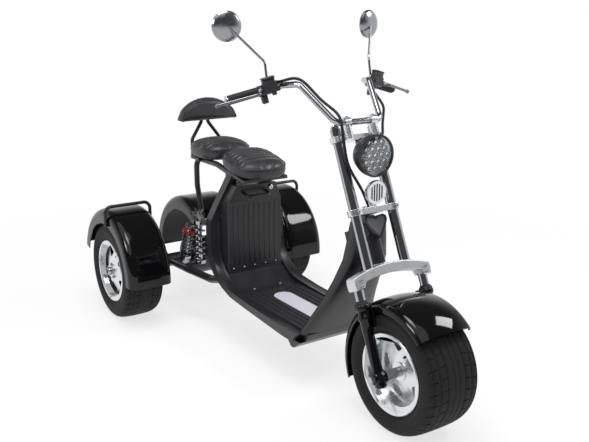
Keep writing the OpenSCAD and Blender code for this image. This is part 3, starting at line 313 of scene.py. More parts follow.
def make_finishes():
    """Every finish on the scooter, each named for its real material."""
    c = colours()
    dull = {"Specular IOR Level": 0.28}
    plain = {
        # Columns: shade, tint, metallic, roughness from and to, width of the spots and of the grain
        # and depth of the grain in millimetres, other shader settings
        # Acrylic lacquer sprayed over primer: deep gloss with a faint orange peel
        "gloss_lacquer": (
            tuple(c.gloss), linear("#09090B"), 0.0, (0.04, 0.09), 160, 9, 0.03, {"IOR": 1.42},
        ),
        # Polyester powder coat: satin with a fine pebble
        "powder_coat": (
            tuple(c.frame), linear("#222226"), 0.0, (0.28, 0.40), 60, 1.6, 0.10, {"Specular IOR Level": 0.5},
        ),
        # Nickel and chrome plate: mirror bright with faint haze
        "chrome_plate": (linear("#A4A6AA"), linear("#B4B6BA"), 1.0, (0.05, 0.12), 80, 14, 0.02, {}),
        # Chrome flash over pressed steel, as on the mirror backs: a softer mirror
        "flash_chrome": (linear("#8E9094"), linear("#A2A4A8"), 1.0, (0.18, 0.26), 60, 10, 0.02, {}),
        # Sand cast aluminium, shot blasted: pale satin with a visible grit
        "cast_aluminium": (linear("#CCCED1"), linear("#DCDEE0"), 1.0, (0.36, 0.48), 26, 2.2, 0.16, {}),
        # Turned and polished aluminium: soft bright with hand polishing haze
        "polished_aluminium": (linear("#DCDEE0"), linear("#E8EAEB"), 1.0, (0.24, 0.34), 40, 5, 0.03, {}),
        # Black enamel in the rim pockets and behind the horn's grille, and black inside the rear rims'
        # barrels as painted shade: satin, nearly flat
        "pocket_enamel_and_shade": (linear("#101012"), linear("#1A1A1D"), 0.0, (0.30, 0.42), 30, 3, 0.05, dull),
        # Zinc plated steel bolts and nuts: grey, softly bright, cloudy over a centimetre or so
        "zinc_steel": (linear("#A9ABAE"), linear("#C3C5C8"), 1.0, (0.24, 0.38), 12, 2, 0.04, {}),
        # Ground steel brake disc: even grey with a fine grind
        "ground_steel": (linear("#8F9194"), linear("#ABADB0"), 1.0, (0.26, 0.40), 14, 1.4, 0.05, {}),
        # Vulcanised tyre rubber: matt, with a dusty bloom
        "tyre_rubber": (linear("#121213"), linear("#202021"), 0.0, (0.62, 0.80), 45, 2.0, 0.12, dull),
        # Moulded rubber of the mat and grips: dull, with a fine grain
        "moulded_rubber": (linear("#1E1E21"), linear("#2A2A2D"), 0.0, (0.52, 0.66), 35, 1.5, 0.10, dull),
        # ABS moulded against a spark eroded tool: fine even texture
        "moulded_abs": (
            linear("#1B1B1E"), linear("#242428"), 0.0, (0.28, 0.40), 50, 1.4, 0.08,
            {"Specular IOR Level": 0.45},
        ),
        # Smooth grey ABS of the head cover's inlay and the switch buttons
        "grey_abs": (linear("#4A4B50"), linear("#57585D"), 0.0, (0.24, 0.36), 40, 3, 0.04, {}),
        # Painted aluminium plate in the deck: pale satin
        "deck_paint": (tuple(c.plate), linear("#BDBBC5"), 0.0, (0.30, 0.42), 35, 3, 0.05, {}),
        # Oil tempered spring wire under clear coat: dark and bright at once
        "spring_steel": (linear("#6A6C70"), linear("#7E8084"), 1.0, (0.20, 0.32), 20, 3, 0.04, {}),
        # Red lacquer on the spring collars
        "collar_lacquer": (tuple(c.collar), linear("#701210"), 0.0, (0.18, 0.30), 20, 4, 0.04, {}),
        # EPDM hose: black with a soft sheen
        "hose_rubber": (linear("#111112"), linear("#1B1B1C"), 0.0, (0.42, 0.56), 20, 2, 0.06, dull),
        # Silvered mirror glass
        "silvered_glass": (linear("#D6DADD"), linear("#E0E3E6"), 1.0, (0.015, 0.03), 60, 30, 0.01, {}),
        # Vacuum metallised lamp reflector
        "lamp_reflector": (linear("#9EA0A4"), linear("#B2B4B8"), 1.0, (0.10, 0.18), 20, 6, 0.02, {}),
        # Red acrylic lens
        "red_acrylic": (linear("#7A0A0C"), linear("#8E1012"), 0.0, (0.08, 0.14), 25, 8, 0.03, {"IOR": 1.49}),
        # Clear polycarbonate lens
        "clear_polycarbonate": (
            linear("#F2F5F7"), linear("#FAFCFD"), 0.0, (0.02, 0.05), 40, 20, 0.02,
            {"Transmission Weight": 1.0, "IOR": 1.58},
        ),
    }
    for name, row in plain.items():
        FINISH[name] = surface(name, *row[:-1], **row[-1])[0]
    make_leatherette()


def make_leatherette():
    """Embossed PVC leatherette: pebbled cells about 2 mm wide, drawn at 3 mm so that they show."""
    pebble_mm = 3.0
    material, tree, base, bump = surface(
        "leatherette",
        tuple(colours().seat),
        linear("#303033"),
        0.0,
        (0.32, 0.46),
        55,
        1.2,
        0.06,
        **{"Specular IOR Level": 0.5},
    )
    place = [n for n in tree.nodes if n.type == "TEX_COORD"][0].outputs["Object"]
    cells = add(
        tree,
        "ShaderNodeTexVoronoi",
        [("Vector", place)],
        feature="DISTANCE_TO_EDGE",
        Scale=1000 / pebble_mm,
    )
    pebbles = add(
        tree,
        "ShaderNodeBump",
        [("Height", cells.outputs["Distance"]), ("Normal", bump.outputs["Normal"])],
        Strength=0.5,
        Distance=0.35 * MM,
    )
    tree.links.new(base.inputs["Normal"], pebbles.outputs["Normal"])
    FINISH["leatherette"] = material


# Workshop


def clear_bench():
    """Object mode with nothing selected."""
    if bpy.context.object and bpy.context.object.mode != "OBJECT":
        bpy.ops.object.mode_set(mode="OBJECT")
    bpy.ops.object.select_all(action="DESELECT")


def hold(piece):
    """Makes the piece the one selected and active object."""
    clear_bench()
    piece.select_set(True)
    bpy.context.view_layer.objects.active = piece
    return piece


def in_edit(piece, *steps):
    """Runs each step on the whole piece in edit mode."""
    hold(piece)
    bpy.ops.object.mode_set(mode="EDIT")
    bpy.ops.mesh.select_mode(type="VERT")
    for step in steps:
        bpy.ops.mesh.select_all(action="SELECT")
        step()
    bpy.ops.object.mode_set(mode="OBJECT")
    return piece


def pick_faces(piece, test):
    """Selects the faces whose centre and normal pass the test, and leaves the piece in edit mode."""
    hold(piece)
    bpy.ops.object.mode_set(mode="EDIT")
    bpy.ops.mesh.select_mode(type="FACE")
    bpy.ops.mesh.select_all(action="DESELECT")
    bpy.ops.object.mode_set(mode="OBJECT")
    for face in piece.data.polygons:
        face.select = bool(test(face.center, face.normal))
    bpy.ops.object.mode_set(mode="EDIT")


def weld():
    bpy.ops.mesh.remove_doubles(threshold=2e-6)


def outward():
    bpy.ops.mesh.normals_make_consistent(inside=False)


def settle(piece, place=None):
    """Moves the piece to its place and puts that place into its mesh."""
    hold(piece)
    if place is not None:
        piece.matrix_world = place @ piece.matrix_world
    bpy.ops.object.transform_apply(location=True, rotation=True, scale=True)
    return piece


def modify(piece, kind, **settings):
    """Adds a modifier with its settings and applies it."""
    hold(piece)
    modifier = piece.modifiers.new(kind.title(), kind)
    for key, value in settings.items():
        setattr(modifier, key, value)
    bpy.ops.object.modifier_apply(modifier=modifier.name)
    return piece


def round_edges(piece, width, segments=2, angle=30):
    return modify(
        piece,
        "BEVEL",
        width=width,
        segments=segments,
        limit_method="ANGLE",
        angle_limit=math.radians(angle),
        use_clamp_overlap=True,
        miter_outer="MITER_ARC",
    )


def smooth(piece, angle=38):
    hold(piece)
    bpy.ops.object.shade_smooth_by_angle(angle=math.radians(angle))
    return piece


def even(piece):
    """Keeps the shading of wide faces flat up to their rounded edges."""
    return modify(piece, "WEIGHTED_NORMAL", keep_sharp=True, weight=80)


def dress(piece, name, finish, body, slot, *nodes):
    """Names the piece, gives it its finish and seats it on its body in place of the nodes it stands for."""
    if not piece.data.polygons:
        raise RuntimeError(name + " came out with no faces")
    piece.name = name
    piece.data.name = name
    piece.data.materials.clear()
    for key in [finish] if isinstance(finish, str) else finish:
        piece.data.materials.append(FINISH[key])
    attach(piece, body)
    if nodes:
        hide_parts(*nodes)
    return piece


def cad_copy(node):
    """A merged copy of a CAD node's mesh as an object of its own."""
    source = frame["nodes"][node]
    piece = source.copy()
    piece.data = source.data.copy()
    for key in list(piece.keys()):
        del piece[key]
    piece.parent = None
    piece.hide_render = False
    piece.hide_viewport = False
    bpy.context.scene.collection.objects.link(piece)
    piece.matrix_world = Matrix.Identity(4)
    hold(piece)
    bpy.ops.mesh.customdata_custom_splitnormals_clear()
    in_edit(piece, weld, lambda: bpy.ops.mesh.dissolve_limited(angle_limit=math.radians(0.6)))
    return piece


def skin(node, name, finish, slot, edge=0.0, angle=38):
    """A CAD node with rounded edges and its finish, standing for that node."""
    body = frame["nodes"][node]["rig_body"]
    piece = cad_copy(node)
    if edge:
        round_edges(piece, edge, angle=angle)
    smooth(piece, angle)
    if edge:
        even(piece)
    return dress(piece, name, finish, body, slot, node)


def panel(piece, test, border, depth):
    """Sets the faces that pass the test in from their border and sinks them."""
    pick_faces(piece, test)
    bpy.ops.mesh.inset(thickness=border, depth=-depth)
    bpy.ops.object.mode_set(mode="OBJECT")
    return piece


def prism(outline, thick):
    """A slab cut to a closed outline of (across, up) points in millimetres, its thickness along X."""
    clear_bench()
    bpy.ops.mesh.primitive_circle_add(vertices=len(outline), radius=1.0, fill_type="NGON")
    piece = bpy.context.object
    for vertex, (y, z) in zip(piece.data.vertices, outline):
        vertex.co = (-thick / 2 * MM, y * MM, z * MM)
    hold(piece)
    bpy.ops.object.mode_set(mode="EDIT")
    bpy.ops.mesh.select_all(action="SELECT")
    bpy.ops.mesh.extrude_region_move(TRANSFORM_OT_translate={"value": (thick * MM, 0, 0)})
    bpy.ops.mesh.select_all(action="SELECT")
    bpy.ops.mesh.normals_make_consistent(inside=False)
    bpy.ops.object.mode_set(mode="OBJECT")
    return piece


def joined(*pieces):
    """The pieces as one object."""
    clear_bench()
    for piece in pieces:
        piece.select_set(True)
    bpy.context.view_layer.objects.active = pieces[0]
    bpy.ops.object.join()
    return pieces[0]


def repaint(piece, index, test):
    """Gives the faces that pass the test another of the piece's finishes."""
    for face in piece.data.polygons:
        if test(face.center, face.normal):
            face.material_index = index
    return piece


def turned(section, steps=96, start=0.0, sweep=360.0):
    """A lathe piece about the Y axis from a closed section of (radius, along) points in millimetres."""
    clear_bench()
    bpy.ops.mesh.primitive_circle_add(vertices=len(section), radius=1.0, fill_type="NOTHING")
    piece = bpy.context.object
    a = math.radians(start)
    for vertex, (r, y) in zip(piece.data.vertices, section):
        vertex.co = (r * MM * math.cos(a), y * MM, r * MM * math.sin(a))
    turn = math.radians(sweep)
    in_edit(
        piece,
        lambda: bpy.ops.mesh.spin(steps=steps, angle=turn, center=(0, 0, 0), axis=(0, 1, 0)),
        weld,
        lambda: bpy.ops.mesh.dissolve_degenerate(threshold=1e-7),
    )
    if sweep < 360:
        hold(piece)
        bpy.ops.object.mode_set(mode="EDIT")
        bpy.ops.mesh.select_mode(type="EDGE")
        bpy.ops.mesh.select_all(action="DESELECT")
        bpy.ops.mesh.select_non_manifold(extend=False)
        bpy.ops.mesh.edge_face_add()
        bpy.ops.object.mode_set(mode="OBJECT")
    in_edit(piece, outward)
    return piece


def tube(points, diameter, ring=10, closed=False, steps=6):
    """A round tube along a smooth line through points in metres, as a mesh."""
    clear_bench()
    bpy.ops.curve.primitive_nurbs_path_add()
    piece = bpy.context.object
    curve = piece.data
    curve.splines.clear()
    line = curve.splines.new("BEZIER")
    line.bezier_points.add(len(points) - 1)
    for knot, point in zip(line.bezier_points, points):
        knot.co = point
        knot.handle_left_type = knot.handle_right_type = "AUTO"
    line.use_cyclic_u = closed
    line.resolution_u = steps
    curve.dimensions = "3D"
    curve.bevel_depth = diameter / 2
    curve.bevel_resolution = max(1, ring // 4)
    curve.use_fill_caps = not closed
    piece.matrix_world = Matrix.Identity(4)
    hold(piece)
    bpy.ops.object.convert(target="MESH")
    piece = bpy.context.object
    in_edit(piece, weld, outward)
    return smooth(piece, 50)


def frame_to(point, up, side=None):
    """A matrix at a point whose Z runs along up, and whose X leans to the side."""
    z = Vector(up).normalized()
    if side is None:
        side = (0, 0, 1) if abs(z.z) < 0.9 else (1, 0, 0)
    x = Vector(side)
    x = (x - z * x.dot(z)).normalized()
    return Matrix.Translation(point) @ Matrix((x, z.cross(x), z)).transposed().to_4x4()


def copies(master, places, name, finish, body, slot):
    """One piece of a master copied to every place, each copy with its own mesh."""
    made = []
    for place in places:
        piece = master.copy()
        piece.data = master.data.copy()
        bpy.context.scene.collection.objects.link(piece)
        made.append(settle(piece, place))
    bpy.data.objects.remove(master)
    return dress(joined(*made), name, finish, body, slot)


def socket_screw(head, height):
    """A cap screw head with a hex socket, standing on Z, sizes in millimetres."""
    clear_bench()
    bpy.ops.mesh.primitive_cylinder_add(
        vertices=24, radius=head / 2 * MM, depth=height * MM, location=(0, 0, height / 2 * MM)
    )
    piece = settle(bpy.context.object)
    pick_faces(piece, lambda c, n: n.z > 0.9)
    bpy.ops.mesh.inset(thickness=head * 0.22 * MM)
    bpy.ops.mesh.extrude_region_move(TRANSFORM_OT_translate={"value": (0, 0, -height * 0.5 * MM)})
    bpy.ops.object.mode_set(mode="OBJECT")
    round_edges(piece, 0.5 * MM, 1, 50)
    return smooth(piece, 40)


def hex_nut(across, height, hole=0.0):
    """A hexagon nut or bolt head with a chamfer, standing on Z, sizes in millimetres."""
    clear_bench()
    bpy.ops.mesh.primitive_cylinder_add(
        vertices=6, radius=across / math.sqrt(3) * MM, depth=height * MM, location=(0, 0, height / 2 * MM)
    )
    piece = settle(bpy.context.object)
    pick_faces(piece, lambda c, n: n.z > 0.9)
    bpy.ops.mesh.inset(thickness=across * 0.06 * MM)
    bpy.ops.transform.translate(value=(0, 0, height * 0.08 * MM))
    if hole:
        bpy.ops.mesh.inset(thickness=(across - hole) / 2 * 0.9 * MM)
        bpy.ops.mesh.extrude_region_move(TRANSFORM_OT_translate={"value": (0, 0, -height * 0.3 * MM)})
    bpy.ops.object.mode_set(mode="OBJECT")
    round_edges(piece, 0.5 * MM, 1, 25)
    return smooth(piece, 30)


def slab(size, edge, segments=3):
    """A block with rounded edges, sizes in millimetres, centred on the bench."""
    clear_bench()
    bpy.ops.mesh.primitive_cube_add(size=1.0)
    piece = bpy.context.object
    piece.scale = [v * MM for v in size]
    settle(piece)
    round_edges(piece, edge * MM, segments, 30)
    return smooth(piece, 40)


def between(p, q, r, s, t):
    """One value of a smooth run from q to r, with p before them and s after."""
    return (2 * q + (r - p) * t + (2 * p - 5 * q + 4 * r - s) * t * t + (3 * q - p - 3 * r + s) * t**3) / 2


def spline(points, steps):
    """Points of a smooth run through the given ones."""
    out = []
    last = len(points) - 1
    for i in range(last):
        four = points[max(i - 1, 0)], points[i], points[i + 1], points[min(i + 2, last)]
        for k in range(steps):
            out.append(tuple(between(*values, k / steps) for values in zip(*four)))
    out.append(points[-1])
    return out


# Wheels

# Half width share, height share of the tyre section from the bead seat up
TYRE_SHARES = [
    (0.86, 0.20),
    (0.95, 0.36),
    (1.00, 0.52),
    (0.985, 0.70),
    (0.93, 0.83),
    (0.82, 0.92),
    (0.62, 0.975),
    (0.34, 0.995),
    (0, 1),
]
# Share of the radius beyond which the rubber is tread
TREAD_SHARE = 0.9
# Bead on the rim, in millimetres: its seat and top, and how far it stands inside the rim's edge
BEAD_R = 127.3
BEAD_TOP = 143.3
BEAD_INSET = 6.3
# Rim guard ring on the side wall, in millimetres
GUARD_R = 176
GUARD_RISE = 1.4
GUARD_WIDTH = 3.0
# Grooves round the tread: half width share, depth, width share
GROOVES = ((0.10, 2.5, 0.022), (0.34, 3.0, 0.022), (0.60, 4.0, 0.028), (0.80, 3.0, 0.020))


def tyre_section(radius, width, rim_width):
    """Closed tyre section with grooves round the tread and a rim guard ring, in millimetres."""
    height = radius - BEAD_R
    side = [(BEAD_R + height * v, width / 2 * u) for u, v in TYRE_SHARES]
    tread_r = radius * TREAD_SHARE
    out = []
    for r, y in spline(side, 9):
        u = y / (width / 2)
        groove = guard = 0
        if r > tread_r:
            groove = sum(d * math.exp(-(((u - at) / w) ** 2)) for at, d, w in GROOVES)
        elif r < tread_r:
            guard = GUARD_RISE * math.exp(-(((r - GUARD_R) / GUARD_WIDTH) ** 2))
        out.append((r - groove, y - guard))
    half = rim_width / 2 - BEAD_INSET
    upper = [(BEAD_R, half), (BEAD_TOP, half)] + out
    return upper + [(r, -y) for r, y in reversed(upper[:-1])]


class SCOOTER_OT_tyres(Operator):
    """Wide road tyres with shoulder grooves and curved sipes"""

    bl_idname = "scooter.tyres"
    bl_label = "Tyres"

    def execute(self, context):
        s = sizes()
        steps = 360
        front = FRONT_RADIUS, 225, FRONT_RIM_WIDTH
        rear = REAR_RADIUS, 184, REAR_RIM_WIDTH
        rows = (
            # piece, node, body, axle, (radius, width, rim width)
            ("tyre_front", "front_tyre", "front_wheel", FRONT_AXLE, front),
            ("tyre_rear_left", "rear_tyre_left", "rear_wheel_left", REAR_LEFT, rear),
            ("tyre_rear_right", "rear_tyre_right", "rear_wheel_right", REAR_RIGHT, rear),
        )
        for name, node, body, axle, (radius, width, rim_width) in rows:
            piece = turned(tyre_section(radius, width, rim_width), steps)
            half = width / 2 * MM

            def sipe(c, n):
                r = math.hypot(c.x, c.z)
                u = c.y / half
                shoulder = 0.30 < abs(u) < 0.93 and abs(abs(u) - 0.60) >= 0.06
                if r < radius * MM * TREAD_SHARE or not shoulder:
                    return False
                turn = math.atan2(c.z, c.x) / (2 * math.pi) * s.sipe_count
                bend = 0.45 * abs(u) ** 1.6 + (0.5 if u < 0 else 0)
                return (turn + bend) % 1.0 < s.sipe_count / steps

            pick_faces(piece, sipe)
            bpy.ops.mesh.extrude_region_shrink_fatten(TRANSFORM_OT_shrink_fatten={"value": -s.sipe_depth})
            bpy.ops.object.mode_set(mode="OBJECT")
            smooth(piece, 35)
            settle(piece, Matrix.Translation(axle))
            dress(piece, name, "tyre_rubber", body, "tyre", node)
        return {"FINISHED"}


class SCOOTER_OT_rims(Operator):
    """Five spoke rims with polished faces, hub caps, wheel nuts and valves"""

    bl_idname = "scooter.rims"
    bl_label = "Rims"

    def execute(self, context):
        rows = (
            # node, body, axle, side that shows, rim width, fastened by hub nuts
            ("front_rim", "front_wheel", FRONT_AXLE, -1, FRONT_RIM_WIDTH, False),
            ("rear_rim_left", "rear_wheel_left", REAR_LEFT, 1, REAR_RIM_WIDTH, True),
            ("rear_rim_right", "rear_wheel_right", REAR_RIGHT, -1, REAR_RIM_WIDTH, True),
        )
        for node, body, axle, side, width, bolted in rows:
            half = width / 2
            rim = cad_copy(node)

            def on_face(d):
                return abs(abs(d.y) - half * MM) < 0.2 * MM

            def flange(c, n):
                d = c - axle
                return on_face(d) and 0.114 < math.hypot(d.x, d.z) < 0.141

            # The lip slopes in from a narrow rim to the barrel
            panel(rim, flange, 12 * MM, 0)
            for vertex in rim.data.vertices:
                d = vertex.co - axle
                r = math.hypot(d.x, d.z) / MM
                if on_face(d) and r < 130:
                    vertex.co.y -= math.copysign((24 if r < 118 else 4.5) * MM, d.y)
            round_edges(rim, 1.2 * MM, 2, 30)
            even(smooth(rim, 36))
            # The second finish is black: enamel on the pocket walls, and painted shade inside the rear
            # barrels
            finishes = ("polished_aluminium", "pocket_enamel_and_shade")
            dress(rim, node.replace("rim", "wheel"), finishes, body, "polished_alloy", node)
            if bolted:
                # Black enamel on the pocket walls, and black painted shade inside the barrel
                self.paint_pockets_and_barrel_shade(rim, axle)
                self.fasten(body, axle, side)
            a = math.radians(54)
            across, rise = math.cos(a), math.sin(a)
            spot = axle + Vector((0.116 * across, side * (half - 40) * MM, 0.116 * rise))
            stem = [
                (0, 0), (4.5, 0), (4.5, 10), (3.4, 12), (3.4, 24), (4.2, 25), (4.2, 33), (3.0, 35), (0, 35),
            ]
            valve = smooth(turned(stem, 20), 40)
            settle(valve, frame_to(spot, (-across * 0.5, side, -rise * 0.5)) @ LATHE_UP)
            dress(valve, body + "_valve", "hose_rubber", body, "mat_rubber")
        return {"FINISHED"}

    def paint_pockets_and_barrel_shade(self, rim, axle):
        """Black enamel on the walls between the spokes, and black inside the barrel as painted shade."""

        def pocket_and_shaded_barrel(c, n):
            d = c - axle
            # Pocket walls between the spokes, and the barrel's inner wall, which is painted shade
            return abs(n.y) < 0.35 and 0.045 < math.hypot(d.x, d.z) < 0.121

        repaint(rim, 1, pocket_and_shaded_barrel)

    def fasten(self, body, axle, side):
        """Five hub nuts round a chrome cap."""
        hub_face, nut_r, cap_face = 73.2 * MM, 0.0305, 80.5 * MM
        nuts = []
        for i in range(5):
            a = math.radians(72 * i + 18)
            spot = axle + Vector((nut_r * math.cos(a), side * hub_face, nut_r * math.sin(a)))
            nuts.append(frame_to(spot, (0, side, 0)))
        copies(hex_nut(12, 8), nuts, body + "_nuts", "zinc_steel", body, "steel")
        dome = [(0, 0), (19, 0), (19.5, 2), (19, 9), (15, 15), (8, 17.5), (0, 18)]
        cap = smooth(turned(dome, 48), 40)
        place = Matrix.Translation(axle + Vector((0, side * cap_face, 0)))
        settle(cap, place @ Matrix.Scale(side, 4, (0, 1, 0)))
        in_edit(cap, outward)
        dress(cap, body + "_cap", "chrome_plate", body, "chrome")


class SCOOTER_OT_brakes(Operator):
    """Vented brake discs on slotted carriers, and their calipers"""

    bl_idname = "scooter.brakes"
    bl_label = "Brakes"

    def execute(self, context):
        rings = (46, 58, 64, 76, 88)
        carrier = rings[0]
        rows = (
            # node, body, axle, disc from the wheel's middle plane, carrier's face from the disc's, bore
            ("front_disc", "front_wheel", FRONT_AXLE, 70, 2, 17),
            ("rear_disc_left", "rear_wheel_left", REAR_LEFT, -48, 12, 20),
            ("rear_disc_right", "rear_wheel_right", REAR_RIGHT, 48, 2, 20),
        )
        for node, body, axle, middle, face, bore in rows:
            inner = bore / 2 + 0.1
            section = [(inner, -2)] + [(r, -2) for r in rings] + [(r, 2) for r in reversed(rings)]
            piece = turned(section + [(carrier, face), (inner, face)], 120)

            def vent(c, n):
                r = math.hypot(c.x, c.z) / MM
                turn = math.atan2(c.z, c.x) / (2 * math.pi)
                if 64 < r < 76:
                    return (turn * 20) % 1.0 < 0.34 and abs(n.y) > 0.9
                return 46 < r < 58 and (turn * 6) % 1.0 < 0.6 and abs(n.y) > 0.9

            pick_faces(piece, vent)
            bpy.ops.mesh.inset(thickness=0.8 * MM, depth=-1.4 * MM)
            bpy.ops.object.mode_set(mode="OBJECT")
            smooth(piece, 35)
            settle(piece, Matrix.Translation(axle + Vector((0, middle * MM, 0))))
            dress(piece, node + "_face", "ground_steel", body, "steel", node)
        edge = sizes().casting_edge
        skin("front_caliper", "caliper_front", "cast_aluminium", "cast_alloy", edge)
        skin("rear_calipers", "calipers_rear", "cast_aluminium", "cast_alloy", edge)
        return {"FINISHED"}


# Fork and steering


class SCOOTER_OT_fork(Operator):
    """Chrome fork tubes, cast bridge, clamps, legs and their screws"""

    bl_idname = "scooter.fork"
    bl_label = "Fork"

    def execute(self, context):
        edge = sizes().casting_edge
        self.cast_bridge(edge)
        skin("lower_yoke", "clamp_lower", "polished_aluminium", "chrome", edge * 0.8)
        skin("top_yoke", "clamp_upper", "polished_aluminium", "chrome", edge * 0.8)
        self.turn_legs()
        skin("front_axle", "axle_front", "zinc_steel", "steel", 0.6 * MM)
        self.fasten()
        return {"FINISHED"}

    def cast_bridge(self, edge):
        """The arched casting, drawn across and along the fork, with its stem boss behind."""
        steps = 24
        top = [(166 * q / steps, 338 + 28 * (1 - (q / steps) ** 2)) for q in range(-steps, steps + 1)]
        low = [(123 * q / steps, 331 - 15 * (q / steps) ** 2) for q in range(steps, -steps - 1, -1)]
        foot = [(130, 297), (166, 294), (168, 322)]
        outline = top + foot[::-1] + low + [(-y, s) for y, s in foot]
        bow = round_edges(prism(outline, 54), 3 * edge, 4, 35)
        boss = prism([(-36, 340), (36, 340), (36, 364), (-36, 364)], 60)
        settle(boss, Matrix.Translation((-46 * MM, 0, 0)))
        round_edges(boss, 2 * edge, 3, 35)
        bridge = even(smooth(joined(bow, boss), 35))
        settle(bridge, FORK)
        dress(bridge, "bridge_casting", "cast_aluminium", "steering", "cast_alloy", "fork_bridge")

    def turn_legs(self):
        """Upper tubes and sliders in chrome, and the lacquered legs with their axle eyes and brackets."""
        # Lathe sections of (radius, place along the fork)
        upper = [
            (0, 340), (18.5, 340), (18.5, 849), (17.5, 850), (15, 850), (15, 858.5), (13.5, 860), (0, 860),
        ]
        slider = [(0, 230), (16.5, 230), (16.5, 330), (0, 330)]
        leg = [
            (0, -34), (15, -34), (20, -29), (21, -20), (21, 18), (18.5, 30), (18.5, 150),
            (20, 158), (20, 192), (23, 196), (23, 206), (21, 210), (21, 226), (25, 230),
            (26, 234), (26, 243), (24, 246), (0, 246),
        ]
        eye = [(0, -22), (20, -22), (22.5, -20), (22.5, 20), (20, 22), (0, 22)]
        tubes, legs = [], []
        for side in (-1, 1):
            for section, y, group in ((upper, TUBE_Y, tubes), (slider, LEG_Y, tubes), (leg, LEG_Y, legs)):
                place = FORK @ Matrix.Translation((0, side * y * MM, 0)) @ LATHE_UP
                group.append(settle(turned(section, 48), place))
            place = Matrix.Translation(FRONT_AXLE + Vector((0, side * LEG_Y * MM, 0)))
            legs.append(settle(turned(eye, 48), place))
            bracket = slab((46, 7, 84), 3)
            legs.append(settle(bracket, FORK @ Matrix.Translation((-6 * MM, side * 119 * MM, 205 * MM))))
        dress(smooth(joined(*tubes), 38), "tubes_fork", "chrome_plate", "steering", "chrome", "fork_tubes")
        dress(smooth(joined(*legs), 38), "legs_fork", "gloss_lacquer", "steering", "gloss_black", "fork_legs")

    def fasten(self):
        """Clamp screws, cap nuts and dust seals."""
        up = FORK.to_3x3() @ Vector((0, 0, 1))
        ahead = FORK.to_3x3() @ Vector((1, 0, 0))
        screws = []
        for side in (-1, 1):
            for u in (25, 47):
                screws.append(frame_to(from_fork(u, side * 57, 874), up))
            for s in (812, 553):
                screws.append(frame_to(from_fork(24, side * 84, s), ahead))
            for s in (305, 325):
                screws.append(frame_to(from_fork(25.5, side * LEG_Y, s), ahead))
            screws.append(frame_to(from_fork(22, side * LEG_Y, 14), ahead))
        copies(socket_screw(10, 7), screws, "fork_screws", "zinc_steel", "steering", "steel")
        caps = [frame_to(from_fork(0, side * TUBE_Y, 859.5), up) for side in (-1, 1)]
        copies(hex_nut(17, 5), caps, "fork_cap_nuts", "chrome_plate", "steering", "chrome")
        seals = [frame_to(from_fork(0, side * LEG_Y, 246), up) @ LATHE_UP for side in (-1, 1)]
        lip = [(16.7, 0), (24, 0), (24.5, 3), (23, 6), (19, 9), (18.5, 13), (17.2, 14), (16.7, 14)]
        seal = smooth(turned(lip, 48), 40)
        copies(seal, seals, "fork_dust_seals", "moulded_rubber", "steering", "mat_rubber")


